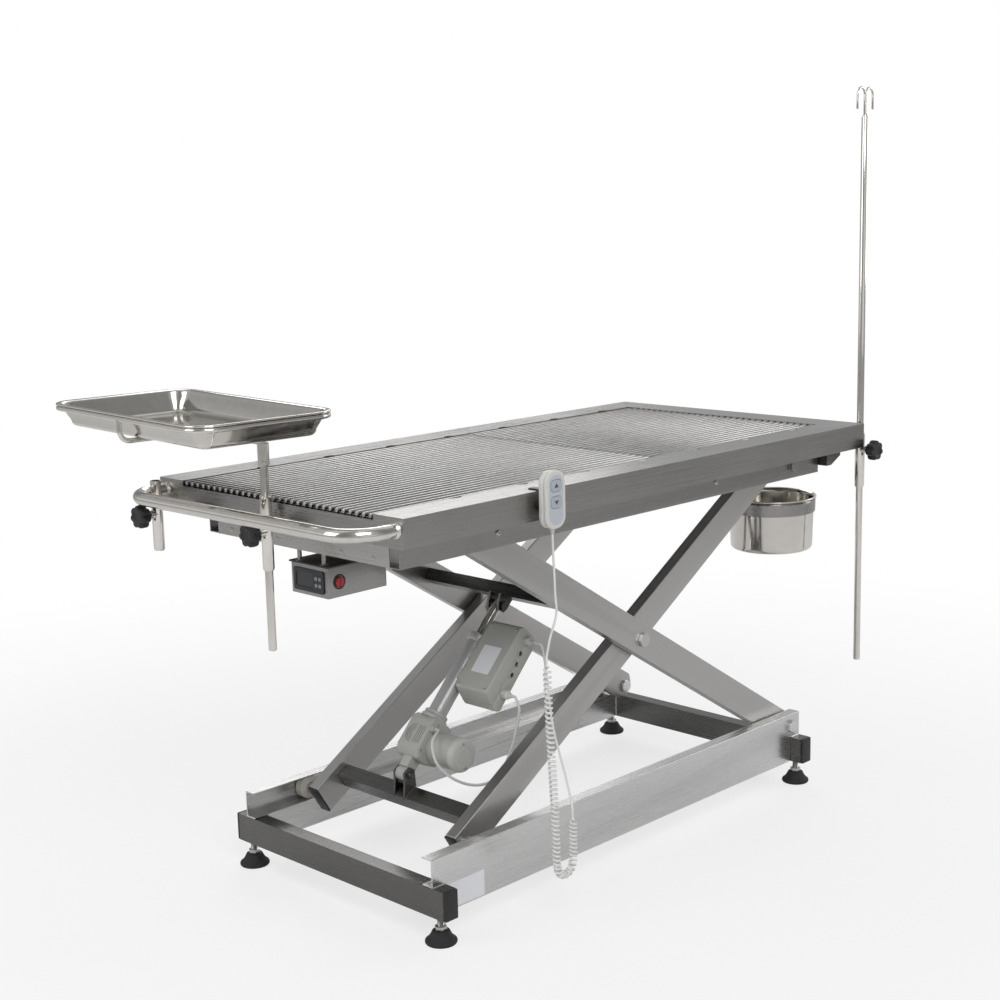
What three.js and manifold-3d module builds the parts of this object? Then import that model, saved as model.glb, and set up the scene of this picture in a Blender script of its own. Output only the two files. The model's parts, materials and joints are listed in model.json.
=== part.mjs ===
import * as THREE from "three";
import { mergeVertices } from "three/addons/utils/BufferGeometryUtils.js";
import Module from "manifold-3d";

const wasm = await Module();
wasm.setup();

// Clearances, in millimetres like every size below
const seat = 0.3;
const pinGap = 0.3;
const armPlay = 2.5;

// Base frame
const tubeUnderside = 48;
const baseLength = 1075;
const frameWidth = 510;
const baseTubeWidth = 30;
const baseTubeHeight = 52;
const baseTubeReach = 25;
const tubeWall = 2.5;
const railWidth = 25;
const railSheet = 2.5;
const pivotFromEnd = 31;
const pivotX = 495;

// Levelling feet
const padRadius = 28;
const padHeight = 23;
const collarRadius = 11;
const collarHeight = 8;
const studRadius = 6;
const studLength = 80;
const footFromEdge = 23;

// Scissor arms and rollers
const armSpan = 1064;
const armAngle = THREE.MathUtils.degToRad(31.6);
const armHeight = 60;
const armThickness = 25;
const armWall = 2.5;
const armOverhang = 16;
const armChamfer = 14;
const pinRadius = 8;
const shoulderRadius = 11;
const boltHeadRadius = 14;
const boltHeadHeight = 7;
const rollerDiameter = 45;
const rollerPlay = 0.35;
const rollerWidth = 20;

// Cross tubes that carry the actuator
const upperTubeSize = 25;
const upperTubeFromCentre = 172;
const rodPinDrop = 30;
const lowerTubeSize = 30;
const lowerTubeFromCentre = 482;
const eyePinAlong = 463.5;
const eyePinRise = 43;
const earThickness = 5;
const earInside = 11;
const earRadius = 14;
const eyePinRadius = 6;

// Actuator, measured along its own axis from the lower pin
const gearStart = 30;
const gearEnd = 116;
const tubeStart = 128;
const tubeEnd = 300;
const actuatorTubeRadius = 18;
const actuatorBore = 12;
const rodRadius = 10;
const rodInnerEnd = 178;
const rodPastPin = 9;
const motorAlong = 70;
const motorDrop = 18;
const motorRadius = 31;
const motorFront = 84;
const motorBack = 31;
const motorCapLength = 14;
const boxStart = 180;
const boxEnd = 334;
const boxRise = 18;
const boxThickness = 58;
const boxInner = 21;
const boxWidth = 84;
const handsetPlugAlong = 316;
const handsetPlugDrop = 8;
const motorPlugAlong = 208;
const motorPlugDrop = 24;
const plugLength = 22;
const saddleLength = 22;
const saddleFromStart = 22;
const saddleFromEnd = 86;

// Tabletop
const topLength = 1300;
const topWidth = 650;
const rimHeight = 50;
const borderWidth = 70;
const topSheet = 2.5;
const ledgeWidth = 10;
const endPlateDrop = 10;
const bearerHeight = 14;
const bearerWidth = 36;
const notchSpacing = 160;
const notchRadius = 18;
const notchDepth = 9;
const notchFirst = -470;
const notchCount = 7;

// Grates
const barDiameter = 8;
const barPitch = 16.4;
const barCount = 31;
const barBelowTop = 0.8;
const barSink = 0.8;
const crossBarThickness = 5;
const crossBarWidth = 16;
const grateSplitX = 58;

// Drain pan
const panSheet = 2;
const panEdge = 18;
const troughFromEnd = 60;
const troughWidth = 50;
const troughHalfLength = 275;
const troughDepth = 37;
const troughChamfer = 34;
const spoutRadius = 12;
const spoutLength = 32;

// Subframe under the tabletop
const subframeLeft = -597;
const subframeRight = 587;

// End handle
const handleRadius = 12;
const handleReach = 85;
const handleInset = 19;
const handleBend = 60;
const handleBelowTop = 21;

// Accessory sockets and knobs
const postRadius = 7;
const socketRadius = 10;
const socketAboveTop = 3;
const socketLength = 126;
const bossRadius = 8;
const bossReach = 18;
const knobStudRadius = 4;
const knobRadius = 21;
const knobLobe = 2;
const knobLobes = 6;
const knobThickness = 20;
const knobHub = 7;
const knobBelowTop = 57;
const middleSocketOut = 18;
const middleSocketY = -6;
const cornerSocketOut = 40;
const socketFromHandle = 26;

// IV pole
const poleSocketGap = 3.6;
const poleY = -307;
const poleSocketBelowTop = 24;
const poleSocketLength = 114;
const poleBelowTop = 514;
const poleAboveTop = 626;
const hookWire = 2.5;
const hookHeight = 58;
const hookReach = 28;
const hookDrop = 45;

// Instrument tray on its post
const trayPostBelowTop = 262;
const trayRimAboveTop = 141;
const trayLength = 510;
const trayWidth = 280;
const trayCorner = 45;
const trayDepth = 43;
const traySheet = 2;
const trayTaper = 16;
const trayRimHeight = 4;
const trayForward = 196;
const traySide = -20;
const traySwing = THREE.MathUtils.degToRad(-4.7);
const frameRod = 4.5;
const frameHubRadius = 9.7;
const frameHubLength = 30;

// Bucket in its ring
const bucketX = 575;
const bucketY = -146;
const bucketBelowTop = 159;
const bucketHeight = 115;
const bucketTopRadius = 90;
const bucketBottomRadius = 86.5;
const bucketRimRadius = 95;
const bucketSheet = 2;
const ringBelowRim = 8;
const ringHeight = 25;
const ringSheet = 3;
const ringBarWidth = 24;

// Thermostat box
const thermoX = -585;
const thermoLength = 133;
const thermoY = -58;
const thermoWidth = 97;
const thermoHeight = 54;
const thermoBelowFrame = 27;
const lidThickness = 3;
const lidOverhang = 3;
const hangerRadius = 4;
const panelWidth = 80;
const panelHeight = 40;
const panelThickness = 2;
const rockerRadius = 9.5;
const rockerGap = 1.2;
const rockerDepth = 8;
const rockerFromEnd = 25;

// Handset on its hook
const handsetX = -336;
const handsetWidth = 48;
const handsetHeight = 98;
const handsetThickness = 20;
const handsetAboveTop = 36;
const handsetFromRim = 12;
const hookSheet = 2;
const hookWidth = 14;
const hookDropLength = 34;
const hookLip = 15;
const keyWidth = 26;
const keyHeight = 20;
const keyProud = 1.2;
const keySunk = 2.2;
const keyTravel = 1;
const keyGap = 0.4;
const keyRaise = 14;

// Handset cord
const cordRadius = 1.7;
const curlRadius = 5.7;
const curlCount = 62;
const curlSteps = 6;
const curlSides = 4;
const cableRadius = 2.6;
const curlTopDrop = 226;
const bendDrop = 598;
const bendRadius = 20;
const curlEndRise = 82;
const strandMiddleRise = 250;
const strandLowRise = 100;

// Derived places
const railOuter = frameWidth / 2;
const railInner = railOuter - railWidth;
const baseRight = pivotX + pivotFromEnd;
const baseLeft = baseRight - baseLength;
const channelHeight = rollerDiameter + 2 * rollerPlay;
const baseLedge = tubeUnderside + baseTubeHeight + seat + railSheet;
const basePivotZ = baseLedge + channelHeight / 2;
const baseRailTop = baseLedge + channelHeight + railSheet;
const topPivotZ = basePivotZ + armSpan * Math.sin(armAngle);
const subframeBottom = topPivotZ - channelHeight / 2 - railSheet;
const subframeTop = topPivotZ + channelHeight / 2 + railSheet;
const rimBottom = subframeTop + seat;
const topZ = rimBottom + rimHeight;
const outerArmFace = railInner - armPlay;
const outerArmInner = outerArmFace - armThickness;
const innerArmFace = outerArmInner - armPlay;
const innerArmInner = innerArmFace - armThickness;
const rollerOuter = railOuter - railSheet - 1;
const rollerInner = rollerOuter - rollerWidth;
const centreX = pivotX - (armSpan / 2) * Math.cos(armAngle);
const centreZ = (basePivotZ + topPivotZ) / 2;
const halfLength = topLength / 2;
const middleSocketX = -halfLength - middleSocketOut;
const cornerSocketX = -halfLength - cornerSocketOut;
const halfWidth = topWidth / 2;
const openHalf = halfWidth - borderWidth;
const handleHalfSpan = halfWidth - handleInset;
const cornerSocketY = handleHalfSpan - socketFromHandle;
const openRight = halfLength - borderWidth;
const panBottom = rimBottom + bearerHeight + seat;

// A closed three.js geometry as a solid that can be joined and cut
function solid(geometry) {
  const bare = new THREE.BufferGeometry();
  bare.setAttribute("position", geometry.getAttribute("position"));
  if (geometry.index) bare.setIndex(geometry.index);
  const merged = mergeVertices(bare, 1e-4);
  const index = merged.index.array;
  const kept = [];
  for (let i = 0; i < index.length; i += 3) {
    const [a, b, c] = [index[i], index[i + 1], index[i + 2]];
    if (a !== b && b !== c && c !== a) kept.push(a, b, c);
  }
  const mesh = new wasm.Mesh({
    numProp: 3,
    vertProperties: merged.attributes.position.array,
    triVerts: new Uint32Array(kept),
  });
  return new wasm.Manifold(mesh);
}

function join(...pieces) {
  return pieces.reduce((sum, piece) => sum.add(piece));
}

function cut(body, ...tools) {
  return tools.reduce((rest, tool) => rest.subtract(tool), body);
}

function block(x, y, z) {
  const spans = [x, y, z].map(([a, b]) => Math.abs(b - a));
  const middles = [x, y, z].map(([a, b]) => (a + b) / 2);
  return solid(new THREE.BoxGeometry(...spans).translate(...middles));
}

// A round or many-sided bar between two points
function bar(from, to, radius, sides = 12, endRadius = radius) {
  const a = new THREE.Vector3(...from);
  const b = new THREE.Vector3(...to);
  const along = b.clone().sub(a);
  const shape = new THREE.CylinderGeometry(endRadius, radius, along.length(), sides);
  const turn = new THREE.Quaternion().setFromUnitVectors(
    new THREE.Vector3(0, 1, 0),
    along.clone().normalize(),
  );
  shape.applyQuaternion(turn);
  const middle = a.add(b).multiplyScalar(0.5);
  return solid(shape.translate(middle.x, middle.y, middle.z));
}

function outline(points, holes = []) {
  const edge = points.map(([a, b]) => new THREE.Vector2(a, b));
  const shape = new THREE.Shape(THREE.ShapeUtils.isClockWise(edge) ? edge.reverse() : edge);
  for (const hole of holes) {
    shape.holes.push(new THREE.Path(hole.map(([a, b]) => new THREE.Vector2(a, b))));
  }
  return shape;
}

// A rounded rectangle about a middle point
function roundedRectangle(width, height, radius, a = 0, b = 0) {
  const shape = new THREE.Shape();
  const [w, h] = [width / 2 - radius, height / 2 - radius];
  shape.absarc(a + w, b + h, radius, 0, Math.PI / 2);
  shape.absarc(a - w, b + h, radius, Math.PI / 2, Math.PI);
  shape.absarc(a - w, b - h, radius, Math.PI, 1.5 * Math.PI);
  shape.absarc(a + w, b - h, radius, 1.5 * Math.PI, 2 * Math.PI);
  return shape;
}

// Outlines drawn in YZ or XZ and pushed along the third axis, with an optional soft edge
function extruded(shape, length, bevel, segments) {
  const soft = {
    depth: length - 2 * bevel,
    bevelEnabled: bevel > 0,
    bevelThickness: bevel,
    bevelSize: bevel,
    bevelOffset: -bevel,
    bevelSegments: 1,
    curveSegments: segments,
  };
  return new THREE.ExtrudeGeometry(shape, soft).translate(0, 0, bevel);
}

function alongX(shape, [from, to], bevel = 0, segments = 4) {
  const turn = new THREE.Matrix4().makeBasis(
    new THREE.Vector3(0, 1, 0),
    new THREE.Vector3(0, 0, 1),
    new THREE.Vector3(1, 0, 0),
  );
  return solid(extruded(shape, to - from, bevel, segments).applyMatrix4(turn).translate(from, 0, 0));
}

function alongY(shape, [from, to], bevel = 0, segments = 4) {
  const turn = new THREE.Matrix4().makeBasis(
    new THREE.Vector3(1, 0, 0),
    new THREE.Vector3(0, 0, 1),
    new THREE.Vector3(0, -1, 0),
  );
  return solid(extruded(shape, to - from, bevel, segments).applyMatrix4(turn).translate(0, to, 0));
}

// A surface through rings of equal length, closed at both ends or round on itself
function skin(rings, looped = false) {
  const sides = rings[0].length;
  const places = rings.flat().flatMap((p) => [p.x, p.y, p.z]);
  const faces = [];
  const last = looped ? rings.length : rings.length - 1;
  for (let i = 0; i < last; i += 1) {
    for (let k = 0; k < sides; k += 1) {
      const next = (k + 1) % sides;
      const above = ((i + 1) % rings.length) * sides;
      faces.push(i * sides + k, i * sides + next, above + next);
      faces.push(i * sides + k, above + next, above + k);
    }
  }
  if (!looped) {
    const end = (rings.length - 1) * sides;
    for (let k = 1; k < sides - 1; k += 1) {
      faces.push(0, k + 1, k);
      faces.push(end, end + k, end + k + 1);
    }
  }
  const geometry = new THREE.BufferGeometry();
  geometry.setAttribute("position", new THREE.Float32BufferAttribute(places, 3));
  geometry.setIndex(faces);
  return solid(geometry);
}

// A piece turned about the vertical, from rings of radius and height
function turned(rings, sides, x = 0, y = 0) {
  return skin(
    rings.map(([radius, z]) =>
      Array.from({ length: sides }, (_, k) => {
        const a = (2 * Math.PI * k) / sides;
        return new THREE.Vector3(x + radius * Math.cos(a), y + radius * Math.sin(a), z);
      }),
    ),
  );
}

// A pressing through rounded rectangles of half length, half width, corner and height
function pressed(sections, cornerSteps) {
  return skin(
    sections.map(([halfX, halfY, corner, z]) =>
      roundedRectangle(2 * halfX, 2 * halfY, corner)
        .getPoints(cornerSteps)
        .slice(0, -1)
        .map((p) => new THREE.Vector3(p.x, p.y, z)),
    ),
  );
}

// A round tube along a list of points
function sweep(points, radius, sides, looped = false) {
  const count = points.length;
  const first = points[1].clone().sub(points[0]).normalize();
  const across = Math.abs(first.z) < 0.9 ? new THREE.Vector3(0, 0, 1) : new THREE.Vector3(1, 0, 0);
  const rings = points.map((point, i) => {
    const before = points[looped ? (i + count - 1) % count : Math.max(i - 1, 0)];
    const after = points[looped ? (i + 1) % count : Math.min(i + 1, count - 1)];
    const tangent = after.clone().sub(before).normalize();
    across.addScaledVector(tangent, -across.dot(tangent)).normalize();
    const side = tangent.clone().cross(across);
    return Array.from({ length: sides }, (_, k) => {
      const a = (2 * Math.PI * k) / sides;
      return point
        .clone()
        .addScaledVector(across, radius * Math.cos(a))
        .addScaledVector(side, radius * Math.sin(a));
    });
  });
  return skin(rings, looped);
}

// Corner points joined by straight runs with round bends
function bent(corners, radius, steps) {
  const points = corners.map((p) => new THREE.Vector3(...p));
  const path = [points[0]];
  for (let i = 1; i < points.length - 1; i += 1) {
    const back = points[i - 1].clone().sub(points[i]).normalize();
    const on = points[i + 1].clone().sub(points[i]).normalize();
    const half = back.angleTo(on) / 2;
    const middle = back.clone().add(on).setLength(radius / Math.sin(half)).add(points[i]);
    const start = points[i].clone().addScaledVector(back, radius / Math.tan(half)).sub(middle);
    const end = points[i].clone().addScaledVector(on, radius / Math.tan(half)).sub(middle);
    const sweepAngle = Math.PI - 2 * half;
    for (let k = 0; k <= steps; k += 1) {
      const a = (sweepAngle * k) / steps;
      path.push(
        start
          .clone()
          .multiplyScalar(Math.sin(sweepAngle - a))
          .addScaledVector(end, Math.sin(a))
          .divideScalar(Math.sin(sweepAngle))
          .add(middle),
      );
    }
  }
  path.push(points[points.length - 1]);
  return path;
}

// Materials
function finish(color, roughness, metalness) {
  return new THREE.MeshStandardMaterial({ color, roughness, metalness });
}
const brushedSteel = finish(0xb9b7b2, 0.38, 0.9);
const polishedSteel = finish(0xd0cfcb, 0.18, 0.95);
const zincSteel = finish(0xa9a8a3, 0.4, 0.8);
const blackPlastic = finish(0x141415, 0.5, 0);
const greyPlastic = finish(0xc4c5c3, 0.5, 0);
const paleGrey = finish(0xb4b7b8, 0.35, 0.3);
const whitePlastic = finish(0xe4e2dc, 0.45, 0);
const blackRubber = finish(0x1b1b1c, 0.85, 0);
const nylon = finish(0xdad7cd, 0.6, 0);
const darkPanel = finish(0x24272b, 0.3, 0);
const greyKey = finish(0x8d9399, 0.45, 0);
const redPlastic = finish(0xb3201c, 0.35, 0);
const cordGrey = finish(0x9a9b9a, 0.55, 0);
const cableWhite = finish(0xd6d6d2, 0.5, 0);

const table = new THREE.Group();
table.name = "veterinary_exam_table";

function add(parent, name, body, material) {
  const made = body.getMesh();
  const geometry = new THREE.BufferGeometry();
  geometry.setAttribute("position", new THREE.BufferAttribute(made.vertProperties, 3));
  geometry.setIndex(new THREE.BufferAttribute(made.triVerts, 1));
  const flat = geometry.toNonIndexed();
  flat.computeVertexNormals();
  const mesh = new THREE.Mesh(flat, material);
  mesh.name = name;
  parent.add(mesh);
  return mesh;
}

function turnedGroup(x, z, angle) {
  const group = new THREE.Group();
  group.position.set(x, 0, z);
  group.rotation.y = angle;
  table.add(group);
  group.updateMatrixWorld(true);
  return group;
}

const sides = { front: -1, back: 1 };

// A fixed pivot on a rail: bolt head, shoulder, shank and retaining washer
function pivotStub(side, z, armFace, armInner) {
  const at = (y) => [pivotX, side * y, z];
  return join(
    bar(at(railOuter + boltHeadHeight), at(railOuter - 0.5), boltHeadRadius, 6),
    bar(at(railOuter - 0.5), at(armFace + seat), shoulderRadius + 1),
    bar(at(armFace + seat + 0.5), at(armInner - seat - 0.5), pinRadius),
    bar(at(armInner - seat), at(armInner - seat - boltHeadHeight), boltHeadRadius),
  );
}

// Base rails
for (const [place, side] of Object.entries(sides)) {
  const outer = side * railOuter;
  const web = side * (railOuter - railSheet);
  const lip = side * railInner;
  const boxSide = side * (railInner + railSheet);
  const boxTop = baseLedge - railSheet;
  const shape = outline([
    [outer, tubeUnderside],
    [outer, baseRailTop],
    [lip, baseRailTop],
    [lip, baseRailTop - railSheet],
    [web, baseRailTop - railSheet],
    [web, baseLedge],
    [lip, baseLedge],
    [lip, tubeUnderside],
  ]);
  const acrossRail = [side * (railInner - 1), side * (railOuter + 1)];
  const below = [tubeUnderside - 1, boxTop];
  const rail = cut(
    alongX(shape, [baseLeft, baseRight]),
    block([baseLeft - 1, baseRight + 1], [web, boxSide], [tubeUnderside + railSheet, boxTop]),
    block([baseLeft - 1, baseLeft + baseTubeWidth + seat], acrossRail, below),
    block([baseRight - baseTubeWidth - seat, baseRight + 1], acrossRail, below),
  );
  const stub = pivotStub(side, basePivotZ, outerArmFace, outerArmInner);
  add(table, `base_rail_${place}`, join(rail, stub), brushedSteel);
}

// Base cross tubes and levelling feet
const tubeHalf = railOuter + baseTubeReach;
const footY = tubeHalf - footFromEdge;
for (const [end, x] of [
  ["left", baseLeft + baseTubeWidth / 2],
  ["right", baseRight - baseTubeWidth / 2],
]) {
  const [w, h] = [baseTubeWidth / 2, baseTubeHeight / 2];
  const z = tubeUnderside + h;
  const frame = (dx, dz) => [
    [x - dx, z - dz],
    [x + dx, z - dz],
    [x + dx, z + dz],
    [x - dx, z + dz],
  ];
  const shape = outline(frame(w, h), [frame(w - tubeWall, h - tubeWall)]);
  const studHole = (side) => {
    const y = side * footY;
    const from = [x, y, tubeUnderside - 1];
    return bar(from, [x, y, tubeUnderside + tubeWall + 1], studRadius + pinGap);
  };
  const tube = cut(alongY(shape, [-tubeHalf, tubeHalf]), studHole(-1), studHole(1));
  add(table, `base_cross_tube_${end}`, tube, brushedSteel);
  for (const [place, side] of Object.entries(sides)) {
    const rings = [
      [padRadius - 1, 0],
      [padRadius, 2],
      [padRadius - 2, 6],
      [collarRadius + 3, padHeight],
      [collarRadius, padHeight + 0.5],
      [collarRadius, padHeight + collarHeight],
      [studRadius, padHeight + collarHeight + 0.5],
      [studRadius, studLength],
    ];
    add(table, `levelling_foot_${place}_${end}`, turned(rings, 12, x, side * footY), blackRubber);
  }
}

// Scissor arms in two groups that share the centre pivot
const outerArms = turnedGroup(centreX, centreZ, armAngle);
const innerArms = turnedGroup(centreX, centreZ, -armAngle);

function scissorArm(side, face, inner) {
  const [a, b] = [side * face, side * inner];
  const [c, d] = [side * (face - armWall), side * (inner + armWall)];
  const [h, k] = [armHeight / 2, armHeight / 2 - armWall];
  const shape = outline(
    [
      [a, -h],
      [a, h],
      [b, h],
      [b, -h],
    ],
    [
      [
        [c, -k],
        [c, k],
        [d, k],
        [d, -k],
      ],
    ],
  );
  const half = armSpan / 2;
  const hole = (x) => bar([x, side * (face + 1), 0], [x, side * (inner - 1), 0], pinRadius + pinGap);
  const axle = (from, to, radius) => bar([-half, side * from, 0], [-half, side * to, 0], radius);
  const tube = alongX(shape, [-half - armOverhang, half + armOverhang]);
  const tip = half + armOverhang;
  const corner = (up) =>
    alongY(
      outline([
        [tip + 1, up * (h - armChamfer - 1)],
        [tip + 1, up * (h + 1)],
        [tip - armChamfer - 1, up * (h + 1)],
      ]),
      [Math.min(a, b) - 1, Math.max(a, b) + 1],
    );
  return join(
    cut(tube, hole(0), hole(half), corner(-1), corner(1)),
    axle(face - 1, rollerInner - seat, shoulderRadius),
    axle(rollerInner - seat - 0.5, rollerOuter, pinRadius),
  );
}

for (const [place, side] of Object.entries(sides)) {
  add(outerArms, `outer_arm_${place}`, scissorArm(side, outerArmFace, outerArmInner), brushedSteel);
  add(innerArms, `inner_arm_${place}`, scissorArm(side, innerArmFace, innerArmInner), brushedSteel);
  const headFace = outerArmFace + seat;
  const nutFace = innerArmInner - seat;
  const atCentre = (y) => [0, side * y, 0];
  const bolt = join(
    bar(atCentre(headFace + boltHeadHeight), atCentre(headFace), boltHeadRadius, 6),
    bar(atCentre(headFace + 0.5), atCentre(nutFace - 0.5), pinRadius),
    bar(atCentre(nutFace), atCentre(nutFace - boltHeadHeight), boltHeadRadius, 6),
  );
  add(outerArms, `centre_pivot_bolt_${place}`, bolt, zincSteel);
  const atAxle = (y) => [-armSpan / 2, side * y, 0];
  const roller = () =>
    cut(
      bar(atAxle(rollerInner), atAxle(rollerOuter), rollerDiameter / 2, 16),
      bar(atAxle(rollerInner - 1), atAxle(rollerOuter + 1), pinRadius + pinGap),
    );
  add(outerArms, `roller_top_${place}`, roller(), nylon);
  add(innerArms, `roller_base_${place}`, roller(), nylon);
}

// Square tube across a pair of arms
function crossTube(x, size, half) {
  const [o, i] = [size / 2, size / 2 - tubeWall];
  const square = (r) => [
    [x - r, -r],
    [x + r, -r],
    [x + r, r],
    [x - r, r],
  ];
  return alongY(outline(square(o), [square(i)]), [-half, half]);
}

// Bracket ear: a plate from the tube's face to a round end at the pin
function bracketEar(side, tubeX, faceZ, pinX, pinZ) {
  const up = Math.sign(pinZ);
  const root = faceZ - up * 2;
  const [y0, y1] = [side * earInside, side * (earInside + earThickness)];
  const foot = earRadius + 4;
  const shape = outline([
    [tubeX - foot, root],
    [tubeX + foot, root],
    [pinX + earRadius, pinZ],
    [pinX + earRadius * 0.6, pinZ + up * earRadius * 0.8],
    [pinX - earRadius * 0.6, pinZ + up * earRadius * 0.8],
    [pinX - earRadius, pinZ],
  ]);
  return alongY(shape, [Math.min(y0, y1), Math.max(y0, y1)]);
}

const lowerEar = (side) =>
  bracketEar(side, -lowerTubeFromCentre, lowerTubeSize / 2, -eyePinAlong, eyePinRise);
const pinOut = earInside + earThickness + 5;
const innerTube = join(
  crossTube(-lowerTubeFromCentre, lowerTubeSize, innerArmInner - seat),
  lowerEar(-1),
  lowerEar(1),
  bar([-eyePinAlong, -pinOut, eyePinRise], [-eyePinAlong, pinOut, eyePinRise], eyePinRadius),
);
add(innerArms, "inner_cross_tube", innerTube, brushedSteel);

const upperEar = (side) =>
  join(
    bracketEar(side, -upperTubeFromCentre, -upperTubeSize / 2, -upperTubeFromCentre, -rodPinDrop),
    bar(
      [-upperTubeFromCentre, side * (earInside + 1), -rodPinDrop],
      [-upperTubeFromCentre, side * pinOut, -rodPinDrop],
      eyePinRadius + 3,
      6,
    ),
  );
const outerTube = join(
  crossTube(-upperTubeFromCentre, upperTubeSize, outerArmInner - seat),
  upperEar(-1),
  upperEar(1),
);
add(outerArms, "outer_cross_tube", outerTube, brushedSteel);

// Actuator, its group turned so that local X runs from the lower pin to the rod pin
const eyePin = innerArms.localToWorld(new THREE.Vector3(-eyePinAlong, 0, eyePinRise));
const rodPin = outerArms.localToWorld(new THREE.Vector3(-upperTubeFromCentre, 0, -rodPinDrop));
const actuatorLength = eyePin.distanceTo(rodPin);
const actuatorAngle = Math.atan2(rodPin.z - eyePin.z, rodPin.x - eyePin.x);
const actuator = turnedGroup(eyePin.x, eyePin.z, -actuatorAngle);

const gearTop = 26;
const gearBottom = -44;
const gearShape = outline([
  [gearStart, -16],
  [gearStart + 10, gearBottom],
  [gearEnd - 12, gearBottom],
  [gearEnd, gearBottom + 14],
  [gearEnd, gearTop - 8],
  [gearEnd - 10, gearTop],
  [gearStart + 14, gearTop],
  [gearStart, gearTop - 12],
]);
const eyeRadius = 13;
const eyeHalf = earInside - seat;
const cableGland = [gearEnd - 24, -26, 17];
const glandLength = 8;
const housing = cut(
  join(
    alongY(gearShape, [cableGland[1], motorBack], 3),
    bar([0, -eyeHalf, 0], [0, eyeHalf, 0], eyeRadius),
    block([0, gearStart + 5], [-eyeHalf, eyeHalf], [-eyeRadius, eyeRadius]),
    bar([gearEnd - 2, 0, 0], [tubeStart, 0, 0], actuatorTubeRadius + 5, 20),
    bar([motorAlong, motorBack + 6, -motorDrop], [motorAlong, -motorFront, -motorDrop], motorRadius, 24),
    bar(cableGland, [cableGland[0], cableGland[1] - glandLength, cableGland[2]], cableRadius + 3, 10),
  ),
  bar([0, -eyeHalf - 1, 0], [0, eyeHalf + 1, 0], eyePinRadius + pinGap),
);
add(actuator, "actuator_housing", housing, greyPlastic);

const capFrom = -motorFront - seat;
const motorCap = join(
  bar(
    [motorAlong, capFrom, -motorDrop],
    [motorAlong, capFrom - motorCapLength + 4, -motorDrop],
    motorRadius + 1,
    24,
  ),
  bar(
    [motorAlong, capFrom - motorCapLength + 4, -motorDrop],
    [motorAlong, capFrom - motorCapLength, -motorDrop],
    motorRadius + 1,
    24,
    motorRadius - 4,
  ),
);
add(actuator, "motor_end_cap", motorCap, greyPlastic);

const outerTubeBody = cut(
  join(
    bar([tubeStart + seat, 0, 0], [tubeEnd, 0, 0], actuatorTubeRadius, 20),
    bar([tubeEnd - 14, 0, 0], [tubeEnd, 0, 0], actuatorTubeRadius + 2, 20),
  ),
  bar([tubeStart - 1, 0, 0], [tubeEnd + 1, 0, 0], actuatorBore, 20),
);
add(actuator, "actuator_tube", outerTubeBody, paleGrey);

const rod = join(
  bar([rodInnerEnd, 0, 0], [actuatorLength + rodPastPin, 0, 0], rodRadius, 16),
  bar([actuatorLength, -eyeHalf, 0], [actuatorLength, eyeHalf, 0], eyePinRadius),
);
add(actuator, "actuator_rod", rod, polishedSteel);

// Control box beside the tube, held by two saddles
const boxBottom = boxRise - boxThickness;
const boxOuter = boxInner + boxWidth;
const boxShape = outline([
  [boxStart + 6, boxRise],
  [boxEnd - 6, boxRise],
  [boxEnd, boxRise - 8],
  [boxEnd, boxBottom + 14],
  [boxEnd - 12, boxBottom],
  [boxStart - 2, boxBottom],
  [boxStart - 8, boxBottom + 10],
]);
const saddle = (x) => block([x, x + saddleLength], [-boxInner - 1, -boxInner + 9], [-11, 11]);
const controlBox = cut(
  join(
    alongY(boxShape, [-boxOuter, -boxInner], 4),
    saddle(boxStart + saddleFromStart),
    saddle(boxEnd - saddleFromEnd),
  ),
  bar([tubeStart, 0, 0], [tubeEnd, 0, 0], actuatorTubeRadius + seat, 20),
);
add(actuator, "control_box", controlBox, greyPlastic);

function plug(along, drop, radius) {
  const from = -boxOuter - seat;
  const shoulder = from - plugLength * 0.55;
  return join(
    bar([along, from, -drop], [along, shoulder, -drop], radius, 14),
    bar([along, shoulder + 0.5, -drop], [along, from - plugLength, -drop], radius - 2, 14, cableRadius + 1),
  );
}
add(actuator, "handset_plug", plug(handsetPlugAlong, handsetPlugDrop, 8), blackPlastic);
add(actuator, "motor_plug", plug(motorPlugAlong, motorPlugDrop, 8.5), whitePlastic);

// A smooth run through points, whose first and last stretches stay straight
function smooth(points, steps) {
  const run = new THREE.CatmullRomCurve3(points.slice(1, -1), false, "centripetal");
  return [points[0], ...run.getSpacedPoints(steps), points[points.length - 1]];
}

// Motor cable: from the gland, over the motor and up to its plug
const plugFront = -boxOuter - plugLength - 2 * seat;
const cableStart = cableGland[1] - glandLength - seat;
const cableRoute = [
  [cableGland[0], cableStart, cableGland[2]],
  [cableGland[0], cableStart - 8, cableGland[2]],
  [motorAlong - 8, -56, motorRadius - motorDrop + 16],
  [motorAlong - 36, -72, 10],
  [motorAlong - 44, -92, -26],
  [motorAlong - 34, -110, -62],
  [motorAlong - 14, -124, -82],
  [motorAlong + 14, -134, -86],
  [motorAlong + 54, -138, -78],
  [motorPlugAlong - 42, -140, -60],
  [motorPlugAlong - 14, -144, -38],
  [motorPlugAlong, plugFront - 8, -motorPlugDrop],
  [motorPlugAlong, plugFront, -motorPlugDrop],
].map((p) => new THREE.Vector3(...p));
add(actuator, "motor_cable", sweep(smooth(cableRoute, 24), cableRadius, 8), cableWhite);

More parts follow.
